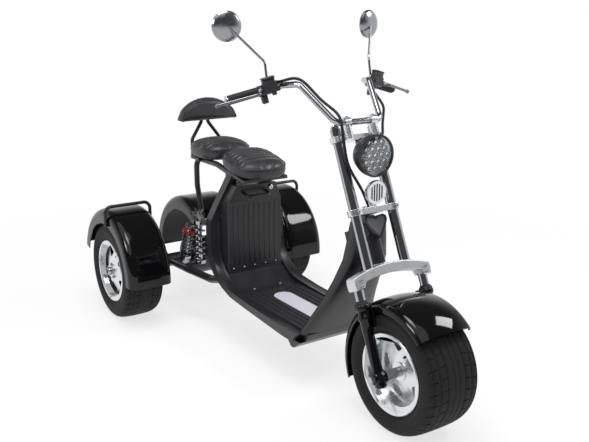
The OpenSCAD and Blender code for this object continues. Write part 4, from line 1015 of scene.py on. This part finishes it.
class SCOOTER_OT_bars(Operator):
    """Handlebar, ribbed grips, switch blocks, brake tanks, levers and hoses"""

    bl_idname = "scooter.bars"
    bl_label = "Bars"

    def execute(self, context):
        skin("handlebar", "bar_tube", "chrome_plate", "chrome")
        skin("controls", "switch_blocks", "moulded_abs", "black_plastic", 1.6 * MM)
        skin("levers", "brake_levers", "spring_steel", "cast_alloy", 0.8 * MM)
        hoses = cad_copy("hoses")
        modify(hoses, "SUBSURF", levels=1, render_levels=1)
        smooth(hoses, 60)
        dress(hoses, "brake_hose_and_loom", "hose_rubber", "steering", "hose_rubber", "hoses")

        # Grip section of (radius, along): a flange, thirteen ribs and a rounded end
        section = [(11.3, 0), (19, 0), (19.5, 3), (19, 5.5), (16.6, 7)]
        for i in range(13):
            y = 9 + i * 7.6
            section += [(16.9, y), (17.0, y + 4.6), (15.7, y + 5.2), (15.7, y + 7.0)]
        section += [(17.0, 110), (17.2, 114), (15.5, 116), (11.3, 116)]
        # Places of the small parts, from the bar's end on the rider's left
        flange = BAR_END - GRIP_DIR * 122
        control = BAR_END - GRIP_DIR * 166
        tank = control + BAR_AHEAD * 27 + GRIP_DIR * 13 + BAR_UP * (-3.6 + 26)
        mirror_nut = control + GRIP_DIR * 11 + BAR_UP * 18.5
        lever_nut = control + BAR_AHEAD * 33 + GRIP_DIR * 48 + BAR_UP * 4.5
        button = control + GRIP_DIR * 24 - BAR_AHEAD * 18.4 + BAR_UP * 3
        pod = control + GRIP_DIR * 32 - BAR_UP * 30 - BAR_AHEAD * 4
        buttons, ends, tanks, studs, nuts, pods = [], [], [], [], [], []
        for side in (-1, 1):
            along, ahead, up = (mirrored(d, side) for d in (GRIP_DIR, BAR_AHEAD, BAR_UP))
            grip = smooth(turned(section, 40), 35)
            settle(grip, frame_to(on_bar(flange, side), along) @ LATHE_UP)
            dress(grip, "grip_left" if side > 0 else "grip_right", "moulded_rubber", "steering", "mat_rubber")
            ends.append(frame_to(on_bar(BAR_END - GRIP_DIR * 6, side), along) @ LATHE_UP)
            for shift in (-19, 19):
                stud = tank + GRIP_DIR * shift + BAR_UP * 22.5
                studs.append(frame_to(on_bar(stud, side), up))
            tanks.append(frame_to(on_bar(tank, side), up, along))
            nuts.append(frame_to(on_bar(mirror_nut, side), (-0.2, 0, 1)))
            nuts.append(frame_to(on_bar(lever_nut, side), up))
            buttons.append(frame_to(on_bar(button, side), -ahead, along))
            pods.append(frame_to(on_bar(pod, side), up, along))
        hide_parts("grips")
        end = [(0, 0), (10.5, 0), (10.5, 4), (16, 4.5), (16.5, 6), (15.5, 9.5), (11, 11.5), (0, 12)]
        plug = smooth(turned(end, 40), 40)
        copies(plug, ends, "bar_end_plugs", "chrome_plate", "steering", "chrome")
        bodies = [place @ Matrix.Translation((0, 0, 8 * MM)) for place in tanks]
        lids = [place @ Matrix.Translation((0, 0, 20 * MM)) for place in tanks]
        copies(slab((44, 27, 22), 3), bodies, "tank_bodies", "moulded_abs", "steering", "black_plastic")
        copies(slab((48, 30, 5), 2), lids, "tank_lids", "moulded_abs", "steering", "black_plastic")
        copies(slab((22, 24, 34), 4), pods, "switch_pods", "moulded_abs", "steering", "black_plastic")
        copies(socket_screw(5, 2), studs, "tank_screws", "zinc_steel", "steering", "steel")
        copies(hex_nut(14, 8, 9), nuts, "mirror_and_lever_nuts", "zinc_steel", "steering", "steel")
        copies(slab((11, 15, 5), 2), buttons, "switch_buttons", "grey_abs", "steering", "black_plastic")
        return {"FINISHED"}


class SCOOTER_OT_mirrors(Operator):
    """Round mirrors with chrome backs and silvered faces"""

    bl_idname = "scooter.mirrors"
    bl_label = "Mirrors"

    def execute(self, context):
        skin("mirrors", "mirror_shells", "flash_chrome", "chrome", 0.8 * MM)
        skin("mirror_glasses", "mirror_faces", "silvered_glass", "mirror_glass", 0.6 * MM)
        return {"FINISHED"}


class SCOOTER_OT_lamps(Operator):
    """Headlamp with its LED cups and clear lens, horn and tail lamp"""

    bl_idname = "scooter.lamps"
    bl_label = "Lamps"

    def execute(self, context):
        skin("headlamp", "lamp_shell", "moulded_abs", "black_plastic", 1.2 * MM)
        lamp = from_rear(*on_fork(86, 724))
        forward, upright = (1, 0, 0), (0, 0, 1)
        place = frame_to(lamp, forward, upright) @ LATHE_UP

        # Lathe sections of (radius, ahead of the lamp's face)
        bowl = [(0, -15.5), (66, -15.5), (66.4, -5), (64.5, -4.6), (63.6, -12), (0, -12.5)]
        glass = [(0, -3.6), (64, -3.6), (66.5, -3.0), (66.8, -1.8), (64, -0.6), (40, 1.0), (0, 1.8)]
        ring = [(65, -6), (73.6, -6), (74.4, -2), (73.6, 1.6), (70, 2.6), (67, 1.6), (65, -1)]
        cup = [(3.5, 0), (10.5, 0), (11.6, 5), (11.6, 8), (10.6, 8), (9.6, 5), (5.5, 1.5), (3.5, 1.2)]
        bulb = [(0, 1), (6.4, 1), (6.2, 4), (4.4, 7.2), (2.2, 8.4), (0, 8.8)]
        piece = smooth(settle(turned(bowl, 64), place), 40)
        dress(piece, "lamp_bowl", "lamp_reflector", "steering", "chrome", "headlamp_lens")
        # Rows of cups packed as a honeycomb
        pitch = 25 * MM
        cups = []
        for i, count in enumerate((3, 4, 5, 4, 3)):
            for j in range(count):
                across = (j - (count - 1) / 2) * pitch
                offset = Vector((-12.5 * MM, across, -(i - 2) * pitch * math.cos(math.pi / 6)))
                cups.append(frame_to(lamp + offset, forward, upright) @ LATHE_UP)
        copies(smooth(turned(cup, 24), 40), cups, "lamp_cups", "lamp_reflector", "steering", "chrome")
        emitter = smooth(turned(bulb, 20), 50)
        copies(emitter, cups, "lamp_emitters", "clear_polycarbonate", "steering", "clear_lens")
        piece = smooth(settle(turned(glass, 64), place), 40)
        dress(piece, "lamp_glass", "clear_polycarbonate", "steering", "clear_lens")
        piece = smooth(settle(turned(ring, 72), place), 40)
        dress(piece, "lamp_ring", "moulded_abs", "steering", "black_plastic")

        horn = skin("horn", "horn_shell", ("polished_aluminium", "pocket_enamel_and_shade"), "chrome", 0.6 * MM)
        front = max(v.co.x for v in horn.data.vertices)
        repaint(horn, 1, lambda c, n: front - 9 * MM < c.x < front - 1.5 * MM and n.x > 0.9)
        skin("tail_lamp", "tail_lens", "red_acrylic", "red_lens", 7 * MM)
        return {"FINISHED"}


# Body


def fender_section(radius, half, shoulder, skirt, sheet, crown=0.0):
    """Closed section of a formed fender with a rolled bead along each edge, in millimetres."""

    def corner(size):
        turns = [math.radians(90 - 7.5 * k) for k in range(13)]
        return [(radius - shoulder + size * math.cos(a), half - shoulder + size * math.sin(a)) for a in turns]

    def crowned(points):
        return [(r + crown * (1 - (y / half) ** 2), y) for r, y in points]

    low = radius - shoulder - skirt
    bead = [(low, half - sheet), (low - 1.5, half - sheet * 0.5), (low, half)]
    top = [(radius, (half - shoulder) * q) for q in (0.66, 0.33, 0.0)]
    right = crowned(bead + corner(shoulder) + top)
    full = right + [(r, -y) for r, y in reversed(right[:-1])]
    inside = crowned(corner(shoulder - sheet))
    return full + [(r, -y) for r, y in inside] + inside[::-1]


class SCOOTER_OT_fenders(Operator):
    """Formed fenders in gloss lacquer, their rails and stays"""

    bl_idname = "scooter.fenders"
    bl_label = "Fenders"

    def execute(self, context):
        sheet = 4
        middle = from_rear(-26, 0, 224)
        rows = (
            # piece, nodes, body, centre, (radius, half, shoulder, skirt), crown, from and to in degrees
            ("fender_rear_left", ["rear_fenders"], "chassis", REAR_LEFT, (290, 100, 34, 30), 0, -2, 165),
            ("fender_rear_right", [], "chassis", REAR_RIGHT, (290, 100, 34, 30), 0, -2, 165),
            ("fender_middle", ["mid_fender"], "chassis", middle, (294, 115, 34, 30), 0, 50, 184),
            ("fender_front", ["front_fender"], "steering", FRONT_AXLE, (237, 115, 22, 1), 16, 48, 204),
        )
        for name, nodes, body, centre, form, crown, start, end in rows:
            piece = turned(fender_section(*form, sheet, crown), 84, start, end - start)
            smooth(piece, 50)
            settle(piece, Matrix.Translation(centre))
            dress(piece, name, "gloss_lacquer", body, "gloss_black", *nodes)
        skin("fender_rails", "rails_fender", "powder_coat", "black_steel")
        skin("fender_stays", "stays_fender", "powder_coat", "black_steel", 1.2 * MM)
        return {"FINISHED"}


class SCOOTER_OT_neck(Operator):
    """Neck shell, head tube and the heart-shaped head cover"""

    bl_idname = "scooter.neck"
    bl_label = "Neck"

    def execute(self, context):
        skin("neck_shell", "neck_moulding", "powder_coat", "black_steel", 0.0, 44)
        ahead = FORK.to_3x3() @ Vector((1, 0, 0))
        cover = cad_copy("neck_cowl")
        panel(cover, lambda c, n: n.dot(ahead) > 0.97, 7 * MM, 3 * MM)
        round_edges(cover, 1.5 * MM)
        finishes = ("moulded_abs", "grey_abs")
        dress(smooth(cover), "head_cover", finishes, "chassis", "black_plastic", "neck_cowl")
        front = max(v.co.dot(ahead) for v in cover.data.vertices)

        def inlay(c, n):
            return n.dot(ahead) > 0.97 and front - 3.6 * MM < c.dot(ahead) < front - 2 * MM

        repaint(cover, 1, inlay)
        skin("head_tube", "head_tube_weldment", "powder_coat", "black_steel", 1.2 * MM)
        return {"FINISHED"}


class SCOOTER_OT_deck(Operator):
    """Foot deck with its ribbed mat, inlaid plate, rails and ramp screws"""

    bl_idname = "scooter.deck"
    bl_label = "Deck"

    def execute(self, context):
        s = sizes()
        skin("deck_frame", "deck_pan", "powder_coat", "black_steel", 2.5 * MM)
        skin("deck_mat", "foot_mat", "moulded_rubber", "mat_rubber", 1.5 * MM)
        skin("deck_plate", "deck_inlay", "deck_paint", "grey_plate", 0.8 * MM)

        # The strip along the rails' front and top, up to 0.52 m, is sunk between its borders
        def strip(c, n):
            return n.x + n.z > 0.5 and abs(n.y) < 0.2 and c.z < 0.52

        rails = cad_copy("side_rails")
        panel(rails, strip, 10 * MM, 2.5 * MM)
        round_edges(rails, s.rail_edge, 2, 40)
        dress(even(smooth(rails, 40)), "rails_side", "powder_coat", "chassis", "black_steel", "side_rails")
        rib_x, rib_len, mat_top = 632, 400, 225
        rib = slab((rib_len, 11, 2 * s.rib_height / MM), 2.6)
        spots = [(rib_x + rib_len / 2, side * y, mat_top) for side in (-1, 1) for y in (62, 86, 110)]
        places = [Matrix.Translation(from_rear(*spot)) for spot in spots]
        copies(rib, places, "mat_ribs", "moulded_rubber", "chassis", "mat_rubber")
        ramp = Vector((18, 0, 75)).normalized()
        screws = [frame_to(from_rear(588, side * 66, 227.6), ramp) for side in (-1, 1)]
        copies(socket_screw(11, 3.5), screws, "ramp_screws", "zinc_steel", "chassis", "steel")
        return {"FINISHED"}


class SCOOTER_OT_battery(Operator):
    """Battery case with ribs, rivets, handle recess and lock"""

    bl_idname = "scooter.battery"
    bl_label = "Battery"

    def execute(self, context):
        s = sizes()
        case = cad_copy("battery_case")
        panel(case, lambda c, n: n.x > 0.97 and c.z < 0.6, 10 * MM, 2.5 * MM)
        panel(case, lambda c, n: n.x > 0.9 and n.z < -0.2, 12 * MM, 2 * MM)
        round_edges(case, s.case_edge, 3, 30)
        dress(even(smooth(case)), "case_battery", "moulded_abs", "chassis", "black_plastic", "battery_case")
        skin("battery_handle", "handle_battery", "moulded_abs", "black_plastic")
        rib = slab((2.6, 8, 262), 1.1)
        places = [Matrix.Translation(from_rear(483.5, y, 446)) for y in range(-104, 105, 26)]
        copies(rib, places, "case_ribs", "moulded_abs", "chassis", "black_plastic")
        clear_bench()
        bpy.ops.mesh.primitive_uv_sphere_add(segments=16, ring_count=8, radius=4.5 * MM)
        rivet = bpy.context.object
        cut = {"plane_co": (0, 0, 0), "plane_no": (0, 0, 1), "clear_inner": True, "use_fill": True}
        in_edit(
            rivet,
            lambda: bpy.ops.mesh.bisect(**cut),
            lambda: bpy.ops.transform.resize(value=(1, 1, 0.6)),
        )
        places = [frame_to(from_rear(483.4, y, 298), (1, 0, 0)) for y in (-108, -54, 0, 54, 108)]
        copies(smooth(rivet, 40), places, "case_rivets", "zinc_steel", "chassis", "steel")
        slope = Vector((76, 0, -20)).normalized()
        barrel = [(0, 0), (11, 0), (11, 4), (9.5, 5.5), (4, 5.5), (3.6, 3.5), (0, 3.5)]
        lock = settle(turned(barrel, 36), frame_to(from_rear(500.5, 74, 646), slope) @ LATHE_UP)
        dress(smooth(lock, 40), "case_lock", "chrome_plate", "chassis", "chrome")
        return {"FINISHED"}


# Seats

# A cover is cut a little smaller than its solid, because it swells
CUT_SHARES = (0.975, 0.975, 0.965)
BLOW_FRAMES = 20


def cushion(node, bottom):
    """A stuffed cover made from the node's solid: remeshed, blown up as cloth and held within its swell."""
    piece = cad_copy(node)
    low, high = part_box(node)
    middle = (low + high) / 2
    in_edit(piece, lambda: bpy.ops.transform.resize(value=CUT_SHARES, center_override=middle))
    modify(piece, "REMESH", mode="VOXEL", voxel_size=6 * MM)
    blow_up(piece, bottom)
    modify(piece, "SMOOTH", factor=0.5, iterations=4)
    modify(piece, "SUBSURF", levels=1, render_levels=1)
    return piece


def blow_up(piece, bottom):
    """Cloth pressure on a cover that is pinned at its bottom, with each point's travel capped."""
    rest = [v.co.copy() for v in piece.data.vertices]
    pins = piece.vertex_groups.new(name="seat_base")
    pins.add([v.index for v in piece.data.vertices if bottom(v.co)], 1.0, "REPLACE")
    hold(piece)
    cloth = piece.modifiers.new("Cloth", "CLOTH")
    cloth.settings.quality = 4
    cloth.settings.mass = 0.25
    cloth.settings.use_pressure = True
    cloth.settings.uniform_pressure_force = 4.0
    cloth.settings.vertex_group_mass = pins.name
    cloth.settings.effector_weights.gravity = 0.0
    cloth.point_cache.frame_start = 1
    cloth.point_cache.frame_end = BLOW_FRAMES
    for step in range(1, BLOW_FRAMES + 1):
        bpy.context.scene.frame_set(step)
    blown = piece.evaluated_get(bpy.context.evaluated_depsgraph_get())
    moved = [v.co.copy() for v in blown.data.vertices]
    piece.modifiers.remove(cloth)
    bpy.context.scene.frame_set(1)
    limit = sizes().seat_swell
    for vertex, old, new in zip(piece.data.vertices, rest, moved):
        step = new - old
        vertex.co = old + step * (limit / step.length if step.length > limit else 1.0)
    piece.vertex_groups.clear()


def sew(piece, lines, width):
    """Presses sewn channels into the top of the cover, across it at the given places along X."""
    depth = sizes().channel_depth
    normals = [v.normal.copy() for v in piece.data.vertices]
    for vertex, normal in zip(piece.data.vertices, normals):
        weight = min(1.0, max(0.0, (normal.z - 0.25) / 0.4))
        if weight <= 0:
            continue
        press = max(math.exp(-(((vertex.co.x - line) / width) ** 2)) for line in lines)
        press *= min(1.0, max(0.0, (108 * MM - abs(vertex.co.y)) / (22 * MM)))
        vertex.co -= normal * depth * press * weight
    return piece


def pipe_round(piece, loop, name):
    """Piping laid on the cover along a loop of points."""
    points = []
    for point in loop:
        found, spot, normal, _ = piece.closest_point_on_mesh(point)
        if not found:
            raise RuntimeError(name + " has no cover to lie on")
        points.append(spot + normal * 0.6 * MM)
    line = tube(points, sizes().piping, ring=12, closed=True, steps=3)
    return dress(line, name, "leatherette", "chassis", "leatherette")


def rounded(share, size):
    """One coordinate of a rounded rectangle just inside that half size, from a cosine or sine."""
    return math.copysign(abs(share) ** (2 / 3), share) * size * 0.99


class SCOOTER_OT_seats(Operator):
    """Driver and pillion seats and the backrest, stuffed, sewn and piped"""

    bl_idname = "scooter.seats"
    bl_label = "Seats"

    def execute(self, context):
        channels = (-0.62, -0.42, -0.22, -0.02, 0.18, 0.38, 0.58)
        half_width, seam_height = 125, 62 * 0.80
        rows = (
            # piece, node, middle, base height, tilt, half length
            ("seat_driver", "driver_seat", 486, 722, 0.16, 129),
            ("seat_pillion", "pillion_seat", 182, 742, 0.0, 131),
        )
        for name, node, middle, base, tilt, half in rows:
            cx = from_rear(middle, 0, 0).x

            def bottom(co):
                return co.z + tilt * (co.x - cx) < (base + 9) * MM

            piece = cushion(node, bottom)
            sew(piece, [cx + q * half * MM for q in channels], 4.5 * MM)
            smooth(piece, 60)
            dress(piece, name, "leatherette", "chassis", "leatherette", node)
            loop = []
            for i in range(72):
                a = 2 * math.pi * i / 72
                x, y = rounded(math.cos(a), half), rounded(math.sin(a), half_width)
                loop.append(from_rear(middle + x, y, base + seam_height - tilt * x))
            pipe_round(piece, loop, name + "_piping")
        back = cushion("backrest_pad", lambda co: co.x < from_rear(50, 0, 0).x)
        smooth(back, 60)
        dress(back, "backrest_cushion", "leatherette", "chassis", "leatherette", "backrest_pad")
        arc = [math.pi * i / 36 for i in range(37)]
        loop = [from_rear(96, 146 * math.cos(a), 897 + 97 * math.sin(a) ** 0.9) for a in arc]
        loop += [from_rear(96, y, 895) for y in (-110, -60, 0, 60, 110)]
        pipe_round(back, loop, "backrest_piping")
        skin("backrest_frame", "backrest_tubes", "powder_coat", "black_steel")
        skin("seat_frame", "seat_tubes", "powder_coat", "black_steel", 1.0 * MM)
        return {"FINISHED"}


# Rear running gear


class SCOOTER_OT_running_gear(Operator):
    """Rear frame, axle housing and the sprung shocks"""

    bl_idname = "scooter.running_gear"
    bl_label = "Running gear"

    def execute(self, context):
        skin("rear_frame", "frame_rear", "powder_coat", "black_steel", 1.0 * MM)
        skin("axle_housing", "housing_axle", "powder_coat", "black_steel", 1.5 * MM)
        skin("shock_dampers", "dampers", "chrome_plate", "chrome", 1.0 * MM)
        skin("shock_collars", "spring_collars", "collar_lacquer", "red_paint", 1.0 * MM)
        skin("shock_springs", "springs", "spring_steel", "chrome", 0.0, 60)
        return {"FINISHED"}


# Stage

# Camera of the photograph's view, and the way from the scooter to it along the ground
CAMERA_PLACE = (2.6431, -1.6972, 1.4061)
CAMERA_AZIMUTH = math.radians(56.38)
CAMERA_ELEVATION = math.radians(15.26)
CAMERA_LENS = 48.30
CAMERA_SENSOR = 36.0
CAMERA_SIDE = (0.833, -0.554, 0.0)
WORLD_LIGHT = 0.45


def shown_rays(tree, path):
    """1 for the light path's rays that show a surface itself, or show it in metal or glass."""
    seen = [(0, path["Is Camera Ray"]), (1, path["Is Glossy Ray"])]
    seen = add(tree, "ShaderNodeMath", seen, operation="MAXIMUM")
    shown = [(0, seen.outputs[0]), (1, path["Is Transmission Ray"])]
    return add(tree, "ShaderNodeMath", shown, operation="MAXIMUM").outputs[0]


class SCOOTER_OT_stage(Operator):
    """White studio with a pale floor, soft light and the camera"""

    bl_idname = "scooter.stage"
    bl_label = "Stage"

    def execute(self, context):
        context.scene.view_settings.view_transform = "Standard"
        self.light_world(context)
        self.lay_floor(context)
        self.hang_lamps(context)
        self.place_camera(context)
        return {"FINISHED"}

    def light_world(self, context):
        """White backdrop, with the dim ceiling and room behind the camera that only reflections show."""
        world = bpy.data.worlds.new("white_studio")
        context.scene.world = world
        world.use_nodes = True
        tree = world.node_tree
        tree.nodes.clear()
        path = add(tree, "ShaderNodeLightPath").outputs
        shown = shown_rays(tree, path)
        facing = add(tree, "ShaderNodeTexCoord").outputs["Generated"]
        height = add(tree, "ShaderNodeSeparateXYZ", [("Vector", facing)])
        ceiling = add(
            tree,
            "ShaderNodeMapRange",
            [("Value", height.outputs["Z"])],
            interpolation_type="SMOOTHSTEP",
            **{"From Min": 0.25, "From Max": 0.65, "To Min": 1.0, "To Max": 0.12},
        )
        toward = add(tree, "ShaderNodeVectorMath", [(0, facing)], operation="DOT_PRODUCT")
        toward.inputs[1].default_value = CAMERA_SIDE
        room = add(
            tree,
            "ShaderNodeMapRange",
            [("Value", toward.outputs["Value"])],
            interpolation_type="SMOOTHSTEP",
            **{"From Min": -0.1, "From Max": 0.5, "To Min": 1.0, "To Max": 0.10},
        )
        dim = [(0, ceiling.outputs["Result"]), (1, room.outputs["Result"])]
        dim = add(tree, "ShaderNodeMath", dim, operation="MINIMUM")
        backdrop = [(0, dim.outputs[0]), (1, path["Is Camera Ray"])]
        backdrop = add(tree, "ShaderNodeMath", backdrop, operation="MAXIMUM")
        level = add(
            tree,
            "ShaderNodeMapRange",
            [("Value", shown), ("To Max", backdrop.outputs[0])],
            **{"To Min": WORLD_LIGHT},
        )
        sky = add(tree, "ShaderNodeBackground", [("Strength", level.outputs["Result"])], Color=(1, 1, 1, 1))
        add(tree, "ShaderNodeOutputWorld", [("Surface", sky.outputs["Background"])])

    def lay_floor(self, context):
        """Pale paper that keeps the shadow and runs out to the white of the backdrop about 3 m away."""
        clear_bench()
        bpy.ops.mesh.primitive_plane_add(size=60.0)
        floor = context.object
        floor.name = "studio_floor"
        in_edit(floor, lambda: bpy.ops.mesh.subdivide(number_cuts=3))
        pale, paler = linear("#F3F3F3"), linear("#F6F6F6")
        paper, tree, base, _ = surface("floor_paper", paler, pale, 0.0, (0.9, 0.95), 400, 30, 0.02)
        base.inputs["Specular IOR Level"].default_value = 0.0
        shown = shown_rays(tree, add(tree, "ShaderNodeLightPath").outputs)
        place = [n for n in tree.nodes if n.type == "TEX_COORD"][0].outputs["Object"]
        reach = add(tree, "ShaderNodeVectorMath", [(0, place)], operation="LENGTH")
        fade = add(
            tree,
            "ShaderNodeMapRange",
            [("Value", reach.outputs["Value"])],
            interpolation_type="SMOOTHSTEP",
            **{"From Min": 0.8, "From Max": 3.2, "To Min": 0.72, "To Max": 1.0},
        )
        share = add(tree, "ShaderNodeMath", [(0, shown), (1, fade.outputs["Result"])], operation="MULTIPLY")
        white = add(tree, "ShaderNodeEmission", Strength=1.0)
        both = [(0, share.outputs[0]), (1, base.outputs[0]), (2, white.outputs[0])]
        mixed = add(tree, "ShaderNodeMixShader", both)
        out = [n for n in tree.nodes if n.type == "OUTPUT_MATERIAL"][0]
        tree.links.new(out.inputs["Surface"], mixed.outputs[0])
        floor.data.materials.append(paper)

    def hang_lamps(self, context):
        """Three soft boxes aimed at the middle of the scooter, and a broad sun as fill."""
        target = Vector((0.1, 0, 0.5))
        for name, spot, size, power in (
            ("softbox_over", (0.5, -0.5, 3.2), 1.1, 30.0),
            ("softbox_left", (1.1, 2.0, 2.6), 0.8, 26.0),
            ("softbox_side", (0.2, -2.9, 2.3), 0.8, 24.0),
        ):
            clear_bench()
            bpy.ops.object.light_add(type="AREA", location=spot)
            lamp = context.object
            lamp.name = name
            lamp.data.size = size
            lamp.data.energy = power
            aim = target - Vector(spot)
            lamp.rotation_euler = aim.to_track_quat("-Z", "Y").to_euler()
        clear_bench()
        bpy.ops.object.light_add(type="SUN", location=(0, 0, 5))
        sun = context.object
        sun.name = "studio_fill"
        sun.data.energy = 1.0
        sun.data.angle = math.radians(70)
        sun.rotation_euler = (math.radians(16), math.radians(14), 0)

    def place_camera(self, context):
        """The photograph's view, fitted to the outlines of the three wheels."""
        clear_bench()
        bpy.ops.object.camera_add(location=CAMERA_PLACE)
        camera = context.object
        level = math.cos(CAMERA_ELEVATION)
        back = Vector(
            (math.sin(CAMERA_AZIMUTH) * level, -math.cos(CAMERA_AZIMUTH) * level, math.sin(CAMERA_ELEVATION))
        )
        camera.rotation_euler = back.to_track_quat("Z", "Y").to_euler()
        camera.data.sensor_width = CAMERA_SENSOR
        camera.data.lens = CAMERA_LENS
        camera.data.dof.use_dof = False
        context.scene.camera = camera


class SCOOTER_PT_panel(Panel):
    """Steps that dress the scooter"""

    bl_idname = "SCOOTER_PT_panel"
    bl_label = "Scooter"
    bl_space_type = "VIEW_3D"
    bl_region_type = "UI"
    bl_category = "Scooter"

    def draw(self, context):
        column = self.layout.column()
        for step in STEPS:
            column.operator(step.bl_idname)
        for group in (context.scene.scooter_sizes, context.scene.scooter_colours):
            for key in group.__annotations__:
                column.prop(group, key)


STEPS = (
    SCOOTER_OT_stage,
    SCOOTER_OT_tyres,
    SCOOTER_OT_rims,
    SCOOTER_OT_brakes,
    SCOOTER_OT_fork,
    SCOOTER_OT_bars,
    SCOOTER_OT_mirrors,
    SCOOTER_OT_lamps,
    SCOOTER_OT_fenders,
    SCOOTER_OT_neck,
    SCOOTER_OT_deck,
    SCOOTER_OT_battery,
    SCOOTER_OT_seats,
    SCOOTER_OT_running_gear,
)
CLASSES = (ScooterSizes, ScooterColours) + STEPS + (SCOOTER_PT_panel,)


def register():
    for cls in CLASSES:
        bpy.utils.register_class(cls)
    bpy.types.Scene.scooter_sizes = PointerProperty(type=ScooterSizes)
    bpy.types.Scene.scooter_colours = PointerProperty(type=ScooterColours)


def unregister():
    del bpy.types.Scene.scooter_colours
    del bpy.types.Scene.scooter_sizes
    for cls in reversed(CLASSES):
        bpy.utils.unregister_class(cls)


def main():
    register()
    make_finishes()
    for step in STEPS:
        group, name = step.bl_idname.split(".")
        getattr(getattr(bpy.ops, group), name)()
    clear_bench()


if __name__ == "__main__":
    main()
